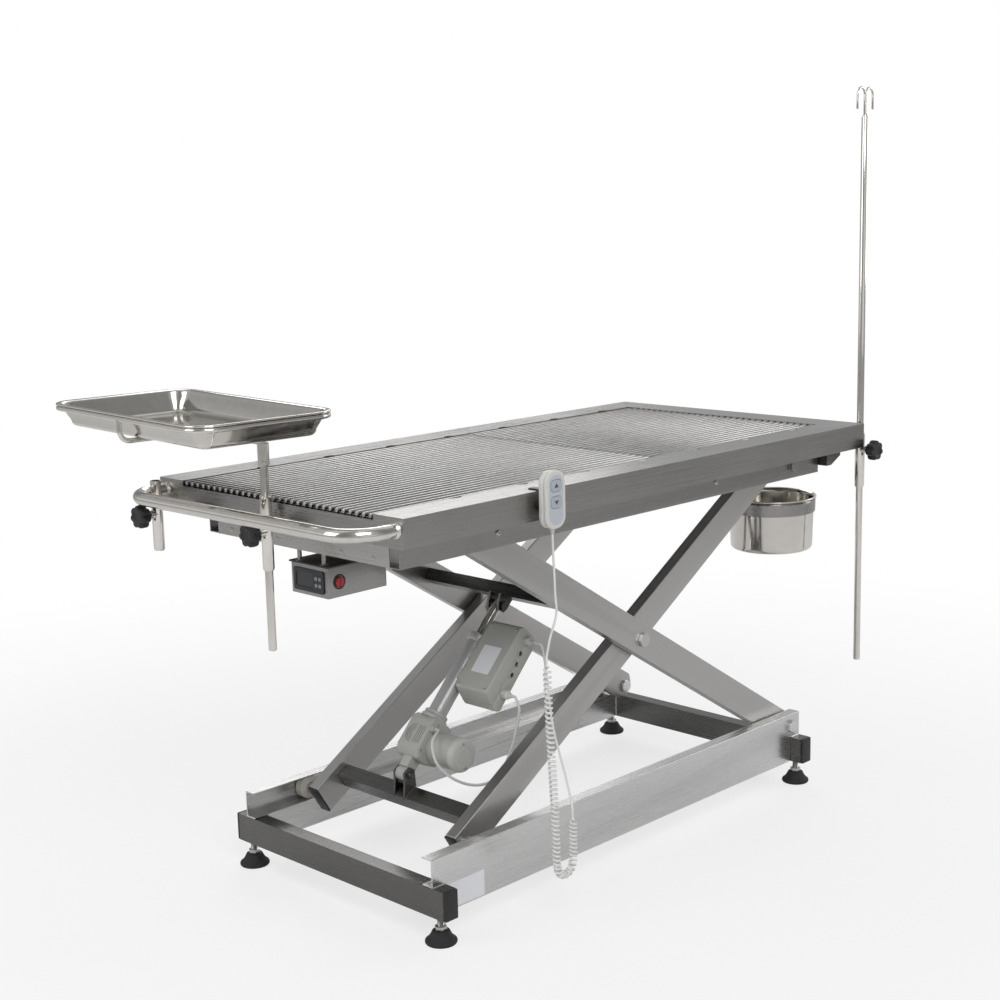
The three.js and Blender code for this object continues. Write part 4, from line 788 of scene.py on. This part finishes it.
# Rollers: radius and width from the inner face
rollerNear = 231.5
wheel = [(8.3, 0), (8.3, 20), (14, 20), (15, 19), (20, 19), (21.6, 19.4), (22.5, 18.4)]
wheel += [(22.5, 1.6), (21.6, 0.6), (20, 1), (15, 1), (14, 0)]
axleX = -lift["armSpan"] / 2
for level, place in (("top", outerPlace), ("base", innerPlace)):
    for where, side in (("front", -1), ("back", 1)):
        shape = turned(wheel, (axleX, side * rollerNear, 0), (0, side, 0), 40, True)
        ends = level + "_" + where
        standIn("rail_roller_" + ends, [shape], "nylon", "roller_" + ends, place)
print("feet, caps and rollers done")


# Screws: a domed head, its crossed recess drawn as a thin dark cross of painted shade
def screwHead(spot, axis, radius, height):
    dome = [(0, 0), (radius, 0), (radius, height * 0.35), (radius * 0.85, height * 0.75)]
    return turned(dome + [(radius * 0.45, height), (0, height)], spot, axis, 20)


def screwCross(spot, axis, radius, height):
    axis = Vector(axis).normalized()
    across = axis.orthogonal().normalized()
    side = axis.cross(across)
    long, thin = radius * 0.5, radius * 0.09
    slot = [(-long, -thin), (long, -thin), (long, thin), (-long, thin)]
    planes = ((across, side, axis), (side, across, axis))
    return [shifted(plate(slot, plane, height - 0.12, 0.2), spot) for plane in planes]


def screws(name, spots, axis, radius, height, node, place=tablePlace):
    detail(name, [screwHead(p, axis, radius, height) for p in spots], "zinc", node, place)
    crosses = [s for p in spots for s in screwCross(p, axis, radius, height)]
    detail(name + "_recess_shade", crosses, "socketDark", node, place)


# Actuator housing: gear case, motor can, neck, lower eye, cable gland and ribs
gearOutline = [(30, -16), (40, -44), (104, -44), (116, -30), (116, 18), (106, 26), (44, 26), (30, 14)]
motorSpot = (70, 0, -18)
motorCan = [(0, -37), (26, -37), (30, -35), (31, -31), (31, 82), (30, 84), (0, 84)]
neck = [(0, 112), (26, 112), (26, 118), (23, 121), (23, 127), (22, 128), (0, 128)]
eye = [(6.3, -10.7), (12.2, -10.7), (13, -9.9), (13, 9.9), (12.2, 10.7), (6.3, 10.7)]
gland = [(0, 26), (7, 26), (7, 29), (5.6, 30), (5.6, 34), (0, 34)]
eyeArm = [(10, -13), (36, -13), (36, 13), (10, 13)]
origin = (0, 0, 0)
housing = [
    plate(gearOutline, planeXz, -26, 57, 5, 4),
    turned(motorCan, motorSpot, toFront, 64),
    turned(neck, origin, toRight, 48),
    turned(eye, origin, toBack, 40, True),
    turned(gland, (92, 0, 17), toFront, 24),
    plate(eyeArm, planeXz, -10.7, 21.4, 1.5, 2),
]
for low in (-30, -18, -6, 6):
    rib = [(48, low), (100, low), (100, low + 2.6), (48, low + 2.6)]
    housing.append(plate(rib, planeXz, -27, 1.2, 0.4, 2))
standIn("gear_and_motor_case", housing, "greyPlastic", "actuator_housing", actuatorPlace)
# The vent slots are drawn as thin darker lines on the can, a painted shade for the slots
ventZ, ventRadius = 26, 0.7
ventRuns = []
for reach in (6, 10, 14, 18):
    ventRuns.append([(x, y, ventZ) for x, y in sweep(72, 3, reach, reach, 0, 180, 12)])
ventRuns += [[(54, y, ventZ), (90, y, ventZ)] for y in (-19, -14, -9, -4)]
vents = [tube(run, ventRadius, 8, soft=0.3) for run in ventRuns]
detail("motor_vents", vents, "ventGrey", "actuator_housing", actuatorPlace)
capProfile = [(0, 84.3), (31, 84.3), (32, 85), (32, 93), (31, 95.6), (28, 97.6), (24, 98.3)]
capProfile += [(17.5, 98.3), (17, 97.7), (16, 97.7), (15.5, 98.3), (9, 98.5), (0, 98.5)]
motorCover = turned(capProfile, motorSpot, toFront, 64)
standIn("motor_cover", [motorCover], "capGrey", "motor_end_cap", actuatorPlace)
capScrews = [(motorSpot[0] + dx, -98, motorSpot[2] + dz) for dx, dz in ((16, 17), (-16, -17))]
screws("motor_cover_screws", capScrews, toFront, 3, 1.8, "motor_end_cap", actuatorPlace)
caseScrews = [(46, -26, 18), (104, -26, 6), (44, -26, -36)]
screws("gear_case_screws", caseScrews, toFront, 3, 1.8, "actuator_housing", actuatorPlace)

tubeProfile = [(12, 128.3), (17.4, 128.3), (18, 129), (18, 284), (19.4, 285), (20, 286), (20, 299)]
tubeProfile += [(19.2, 300), (12, 300)]
outerTube = turned(tubeProfile, origin, toRight, 48, True)
standIn("actuator_outer_tube", [outerTube], "tubeGrey", "actuator_tube", actuatorPlace)
rodProfile = [(0, 178), (10, 178), (10, actuatorLength - 16), (10, actuatorLength + 7.4)]
rodProfile += [(8.6, actuatorLength + 9), (0, actuatorLength + 9)]
pin = [(0, -10.7), (6, -10.7), (6, 10.7), (0, 10.7)]
rodShapes = [turned(rodProfile, origin, toRight, 40), turned(pin, (actuatorLength, 0, 0), toBack, 24)]
standIn("actuator_piston", rodShapes, "polished", "actuator_rod", actuatorPlace)

# Control box: two mouldings with a seam, saddles on the tube, sockets along its side
lidOutline = [(186, 18), (328, 18), (334, 10), (334, -14), (175.2, -14)]
baseOutline = [(175.3, -14.8), (333.4, -14.8), (333.4, -26), (321.6, -39.4), (178.4, -39.4), (172.7, -30)]
seamOutline = [(178, -16), (331, -16), (331, -12), (178, -12)]
saddle = [(-22.5, -13.6)] + sweep(0, 0, -18.4, 18.4, -48, 48, 12) + [(-22.5, 13.6)]
boxShapes = [
    plate(lidOutline, planeXz, -105, 83.4, 4, 4),
    plate(baseOutline, planeXz, -104.4, 82.8, 2.5, 3),
    plate(seamOutline, planeXz, -103.4, 80.8, 0.4, 2),
]
boxShapes += [plate(saddle, planeYz, start, 22, 0.6, 2) for start in (202, 248)]
socketSpots = [(289, 0, -11), (268, 0, -15), (246, 0, -18)]
socketRim = [(5, 104), (5, 107), (6.4, 107), (7, 106.4), (7, 104)]
boxShapes += [turned(socketRim, spot, toFront, 32, True) for spot in socketSpots]
connectors = {
    "handset_connector": {"spot": (316, 0, -8), "radius": 8, "seat": 9.6, "finish": "capGrey"},
    "motor_connector": {"spot": (208, 0, -24), "radius": 8.5, "seat": 10, "finish": "whitePlastic"},
}
for plug in connectors.values():
    r = plug["seat"]
    seat = [(0, 104), (0, 105.2), (r - 0.6, 105.2), (r, 104.8), (r, 104)]
    boxShapes.append(turned(seat, plug["spot"], toFront, 32))
standIn("control_case", boxShapes, "greyPlastic", "control_box", actuatorPlace)
# Painted shade: dark discs inside each socket rim stand in for the shade in the socket holes
socketFace = [(0, 104), (5, 104), (5, 105.4), (0, 105.4)]
socketHoleShade = [turned(socketFace, spot, toFront, 28) for spot in socketSpots]
detail("control_sockets", socketHoleShade, "socketDark", "control_box", actuatorPlace)
pins = []
for x, y, z in socketSpots:
    for pinX, pinZ in sweep(x, z, 2.8, 2.8, 40, 300, 4):
        pins.append(turned([(0, 105), (0.5, 105), (0.5, 106), (0, 106)], (pinX, y, pinZ), toFront, 10))
detail("control_socket_pins", pins, "zinc", "control_box", actuatorPlace)
boxScrews = [(x, y, 18) for x in (192, 322) for y in (-97, -30)]
screws("control_case_screws", boxScrews, toSky, 2.8, 0.8, "control_box", actuatorPlace)
blankPlate = plate(roundedOutline(58, 44, 2, 4, 250, -64), planeXy, 17.9, 0.5, 0.15, 1)
detail("control_blank_plate", [blankPlate], "sticker", "control_box", actuatorPlace)
for name, plug in connectors.items():
    r = plug["radius"]
    profile = [(0, 105.3), (r - 0.6, 105.3), (r, 106), (r, 116.4), (r - 1, 117.4), (r - 2.2, 117.6)]
    for k in range(4):
        near = 118 + 2.3 * k
        width = r - 2.2 - (r - 5) * k / 4
        profile += [(width, near), (width, near + 1.2), (width - 0.9, near + 1.5), (width - 0.9, near + 2.1)]
    shape = turned(profile + [(3.2, 127.3), (0, 127.3)], plug["spot"], toFront, 32)
    standIn(name, [shape], plug["finish"], name.replace("connector", "plug"), actuatorPlace)
print("actuator done")

# Handset: front and back shells with a seam, hook, strain relief, membrane, keys with arrow signs
keySpots = {"up": 24, "down": -4}
handsetFront = handset["front"]
keyHoles = [roundedOutline(27.2, 21.2, 8.4, 8, 0, z) for z in keySpots.values()]
shellOutline = roundedOutline(handset["width"], handset["height"], handset["corner"], 14)
frontShell = holed("front_shell", shellOutline, keyHoles, planeXz, 7, 2.6, 4)
backShell = plate(roundedOutline(47.4, 97.4, 20.7, 14), planeXz, -6.4, 12.6, 4.5, 5)
hookLeft, hookRight, hookTop = handsetX - 5, handsetX + 5, topZ - 15.7
relief = [(0, 2), (5.4, 2), (5.4, 0)]
for k in range(4):
    width = 4.8 - 0.6 * k
    relief += [(width, -0.6 - 2.4 * k), (width, -1.8 - 2.4 * k), (width - 0.8, -2.1 - 2.4 * k)]
relief += [(2.2, -10), (0, -10)]
handsetShapes = [
    shifted(frontShell, (handsetX, handsetFront + 3.5, handsetMiddle)),
    shifted(backShell, (handsetX, handsetFront + 13.7, handsetMiddle)),
    block((hookLeft, -338.3, topZ - 18.7), (hookRight, -330.3, hookTop), 0.5),
    block((hookLeft, -332.3, topZ - 28), (hookRight, -330.3, hookTop), 0.5),
    turned(relief, (handsetX, cordY, handsetBottom), sides=28),
]
standIn("handset_case", handsetShapes, "whitePlastic", "handset_body", smoothAngle=45)
membraneHoles = [roundedOutline(27.4, 21.4, 8.5, 8, 0, z) for z in keySpots.values()]
membrane = holed("membrane_sheet", roundedOutline(34, 84, 15.5, 12), membraneHoles, planeXz, 0.6, 0.2, 1)
membrane = shifted(membrane, (handsetX, handsetFront - 0.1, handsetMiddle))
detail("handset_membrane", [membrane], "membrane", "handset_body")
for place, spot in keySpots.items():
    z = handsetMiddle + spot
    key = plate(roundedOutline(26, 20, 8, 10), planeXz, -1.2, 3.4, 0.8, 3)
    key = shifted(key, (handsetX, handsetFront, z))
    standIn("handset_button_" + place, [key], "keyGrey", "handset_key_" + place)
    lean = 1 if place == "up" else -1
    arrow = [(-5.4, -3 * lean), (5.4, -3 * lean), (0, 4.4 * lean)]
    sign = shifted(plate(arrow, planeXz, -0.12, 0.3, 0.05, 1), (handsetX, handsetFront - 1.2, z))
    detail("handset_sign_" + place, [sign], "keySign", "handset_key_" + place)
print("handset done")

# Thermostat box: folded case on hanger rods under a dark lid, rocker, bezel, display and keys
thermo = {"left": -585, "right": -452, "front": -58, "back": 39, "drop": 27, "height": 54}
left, right, front, back = [thermo[k] for k in ("left", "right", "front", "back")]
top = railBottom - thermo["drop"]
middleZ = top - thermo["height"] / 2
thermoShapes = [block((left, front, top - thermo["height"]), (right, back, top), 1.4, 3)]
washer = [(0, 3), (8, 3), (8, 3.8), (7, 4.4), (0, 4.4)]
for y in (-42, 23):
    for x, high in ((-578.5, railBottom - lift["seat"]), (-470, rimBottom + 14)):
        thermoShapes.append(tube([(x, y, top - 1), (x, y, high)], 4, 20))
        thermoShapes.append(turned(washer, (x, y, top), sides=24))
standIn("thermostat_case", thermoShapes, "brushed", "thermostat_box")
lid = block((left - 3, front - 3, top + 0.02), (right + 3, back + 3, top + 3), 0.7)
detail("thermostat_lid", [lid], "lidDark", "thermostat_box")
rockerX = -560
bezel = [(10.7, 1), (10.7, -2), (12.4, -2), (13.2, -1.2), (13.2, 1)]
bezelRing = turned(bezel, (rockerX, front, middleZ), toBack, 40, True)
detail("rocker_bezel", [bezelRing], "blackPlastic", "thermostat_box")
rocker = [(0, 3.9), (8.4, 3.9), (9.3, 3.2), (9.5, 2.2), (9.5, -4), (0, -4)]
ridge = block((rockerX - 1, front - 5.1, middleZ - 7.4), (rockerX + 1, front - 3.6, middleZ + 7.4), 0.5)
rockerShapes = [turned(rocker, (rockerX, front, middleZ), toFront, 40), ridge]
standIn("rocker_red", rockerShapes, "red", "power_rocker")
panelY = (front + back) / 2
window = roundedOutline(44, 24, 2.5, 4, 11, 0)
panelFrame = holed("panel_frame", roundedOutline(80, 40, 4, 6), [window], planeYz, 2.6, 0.7, 2)
panelFrame = shifted(panelFrame, (-586.6, panelY, middleZ))
standIn("thermostat_bezel", [panelFrame], "darkPanel", "thermostat_panel")
display = plate(roundedOutline(46, 26, 2, 4, 11, 0), planeYz, -0.4, 0.8, 0.1, 1)
display = shifted(display, (-586.2, panelY, middleZ))
detail("thermostat_display", [display], "display", "thermostat_panel")
keys = []
for dy in (-21, -31):
    for dz in (6, -6):
        key = plate(roundedOutline(6.4, 6.4, 2.2, 5, dy, dz), planeYz, -1.2, 1.6, 0.5, 2)
        keys.append(shifted(key, (-587.9, panelY, middleZ)))
detail("thermostat_keys", keys, "panelKey", "thermostat_panel")
print("thermostat done")


# Weld beads along the frame's joints, with the ripple that a torch leaves
def bead(start, end, radius):
    start, end = Vector(start), Vector(end)
    run = evenly([start, end], max(6, int((end - start).length / 1.5)))
    points, faces = tube(run, radius, 10, soft=radius * 0.6)
    for i, p in enumerate(points):
        p.z += 0.22 * sin(1.7 * (i // 10))
    return points, faces


baseBeads, topBeads = [], []
subframeEnds = ((-597, 1), (587, -1))
for x, inward in ((-519, 1), (496, -1)):
    for side in (-1, 1):
        y = side * 230 - side * 0.6
        baseBeads.append(bead((x, y, 50), (x, y, 98), 1.6))
        y = side * 255.4
        baseBeads.append(bead((x - inward * 28, y, 100.4), (x - inward * 2, y, 100.4), 1.6))
for x, inward in subframeEnds:
    for y in (-229.6, 229.6):
        z = railBottom - 0.2
        topBeads.append(bead((x + inward * 2, y, z), (x + inward * 24, y, z), 1.4))
for x in (-640, -400, -150, 100, 350, 600):
    topBeads.append(bead((x - 14, -255.8, rimBottom - 0.2), (x + 14, -255.8, rimBottom - 0.2), 1.4))
detail("base_welds", baseBeads, "zinc", "base_cross_tube_left")
detail("top_welds", topBeads, "zinc", "top_rail_front")

# Bolts on the front roller rail, screws on the left end channel and a bare plate on the base rail
boltSpots = [(235, -255, railBottom + 27), (-372, -255, railBottom + 25), (505, -255, railTop - 9)]
screws("rail_bolts", boltSpots, toFront, 5, 3, "top_rail_front")
channelScrews = [(subframeEnds[0][0], y, railBottom + 12) for y in (-190, -110, 60, 120, 190)]
screws("channel_screws", channelScrews, toLeft, 3.6, 2, "top_end_channel_left")
blankPlate = plate(roundedOutline(88, 46, 1.5, 3, -470, 74), planeXz, -255.4, 0.5, 0.12, 1)
detail("rail_blank_plate", [blankPlate], "sticker", "base_rail_front")
print("welds and screws done")

# Sheet and tube nodes that stay as they are get their finish and a soft edge in millimetres
nodeFinishes = {
    "base_rail_": ("base", 0.9),
    "base_cross_tube_": ("cross", 1.4),
    "outer_arm_": ("outerArm", 1.6),
    "inner_arm_": ("innerArm", 1.6),
    "outer_cross_tube": ("cross", 1.0),
    "inner_cross_tube": ("cross", 1.0),
    "centre_pivot_bolt_": ("zinc", 0.8),
    "tabletop_frame": ("brushed", 0.9),
    "drain_pan": ("pan", 0.7),
    "top_rail_": ("brushed", 0.9),
    "top_end_channel_": ("channel", 0.9),
    "handset_hook": ("blackPlastic", 0.5),
}
for name, node in frame["nodes"].items():
    node.data.materials.clear()
    key = next((k for k in nodeFinishes if name.startswith(k)), None)
    if key is None:
        node.data.materials.append(finishes["greyPlastic"])
        continue
    finish, edge = nodeFinishes[key]
    node.data.materials.append(finishes[finish])
    weld = node.modifiers.new("merged", "WELD")
    weld.merge_threshold = 0.00002
    soft = node.modifiers.new("soft_edge", "BEVEL")
    soft.width = edge / 1000
    soft.segments = 2
    soft.limit_method = "ANGLE"
    soft.angle_limit = radians(35)
    soft.use_clamp_overlap = True
    normals = node.modifiers.new("even_normals", "WEIGHTED_NORMAL")
    normals.weight = 100
    normals.keep_sharp = False
    node.data.polygons.foreach_set("use_smooth", [True] * len(node.data.polygons))
print("sheet metal finished")

# Stage: a pale floor that fades into a white surround
floorHalf = 14
floorCorners = [(-floorHalf, -floorHalf, 0), (floorHalf, -floorHalf, 0), (floorHalf, floorHalf, 0)]
floorCorners.append((-floorHalf, floorHalf, 0))
floorMesh = bpy.data.meshes.new("studio_floor")
floorMesh.from_pydata(floorCorners, [], [(0, 1, 2, 3)])
floor = placed("studio_floor", floorMesh)
floorFinish = bpy.data.materials.new("studio_floor")
floorFinish.use_nodes = True
tree = floorFinish.node_tree
paint = tree.nodes["Principled BSDF"]
paint.inputs["Base Color"].default_value = (0.93, 0.93, 0.93, 1)
paint.inputs["Roughness"].default_value = 0.9
paint.inputs["Specular IOR Level"].default_value = 0.1
coords = addNode(tree, "TexCoord", {})
reach = addNode(tree, "VectorMath", {0: coords.outputs["Object"]}, operation="LENGTH")
fade = ranged(tree, reach.outputs["Value"], 0.8, 2.6, 0.7, 1.0, interpolation_type="SMOOTHSTEP")
rays = addNode(tree, "LightPath", {}).outputs
seen = combined(tree, "MAXIMUM", rays["Is Camera Ray"], rays["Is Transmission Ray"])
glow = addNode(tree, "Emission", {"Color": (1, 1, 1, 1)})
layers = {0: combined(tree, "MULTIPLY", seen, fade), 1: paint.outputs[0], 2: glow.outputs[0]}
mix = addNode(tree, "MixShader", layers)
tree.links.new(mix.outputs[0], tree.nodes["Material Output"].inputs["Surface"])
floorMesh.materials.append(floorFinish)

# The surround: white to the camera, soft bands of light and shade for the steel to mirror
world = bpy.data.worlds.new("studio_world")
bpy.context.scene.world = world
world.use_nodes = True
tree = world.node_tree
sky = tree.nodes["Background"]
coords = addNode(tree, "TexCoord", {})
parts = addNode(tree, "SeparateXYZ", {0: coords.outputs["Generated"]}).outputs
ramp = addNode(tree, "ValToRGB", {0: parts[2]})
stops = ramp.color_ramp.elements
stops[0].color = (0.7, 0.7, 0.7, 1)
stops[1].color = (0.7, 0.7, 0.71, 1)
stops.new(0.35).color = (0.34, 0.34, 0.35, 1)
tree.links.new(ramp.outputs[0], sky.inputs["Color"])
bearing = combined(tree, "ARCTAN2", parts[1], parts[0])
wave = addNode(tree, "Math", {0: bearing, 1: 3, 2: 0.9}, operation="MULTIPLY_ADD")
bands = ranged(tree, combined(tree, "SINE", wave.outputs[0]), -1.0, 1.0, 0.25, 1.15)
tree.links.new(bands, sky.inputs["Strength"])
white = addNode(tree, "Background", {"Color": (1, 1, 1, 1)})
rays = addNode(tree, "LightPath", {}).outputs
shine = combined(tree, "MULTIPLY", rays["Is Glossy Ray"], 0.16)
seen = combined(tree, "MAXIMUM", rays["Is Camera Ray"], shine)
mix = addNode(tree, "MixShader", {0: seen, 1: sky.outputs[0], 2: white.outputs[0]})
tree.links.new(mix.outputs[0], tree.nodes["World Output"].inputs["Surface"])

lampTarget = Vector((0, 0, 0.55))
lamps = {
    "key_lamp": {"place": (-1.6, -2.6, 2.9), "size": 1.8, "power": 46},
    "fill_lamp": {"place": (-3.0, 0.9, 2.0), "size": 1.8, "power": 22},
    "back_lamp": {"place": (1.9, 2.4, 2.6), "size": 1.8, "power": 30},
    "right_lamp": {"place": (2.8, -1.4, 1.7), "size": 1.4, "power": 16},
}
for name, row in lamps.items():
    lamp = bpy.data.lights.new(name, "AREA")
    lamp.shape = "SQUARE"
    lamp.size = row["size"]
    lamp.energy = row["power"]
    made = placed(name, lamp)
    made.location = row["place"]
    made.rotation_mode = "QUATERNION"
    made.rotation_quaternion = (lampTarget - Vector(row["place"])).to_track_quat("-Z", "Y")
bpy.context.scene.view_settings.view_transform = "Standard"
print("stage set")
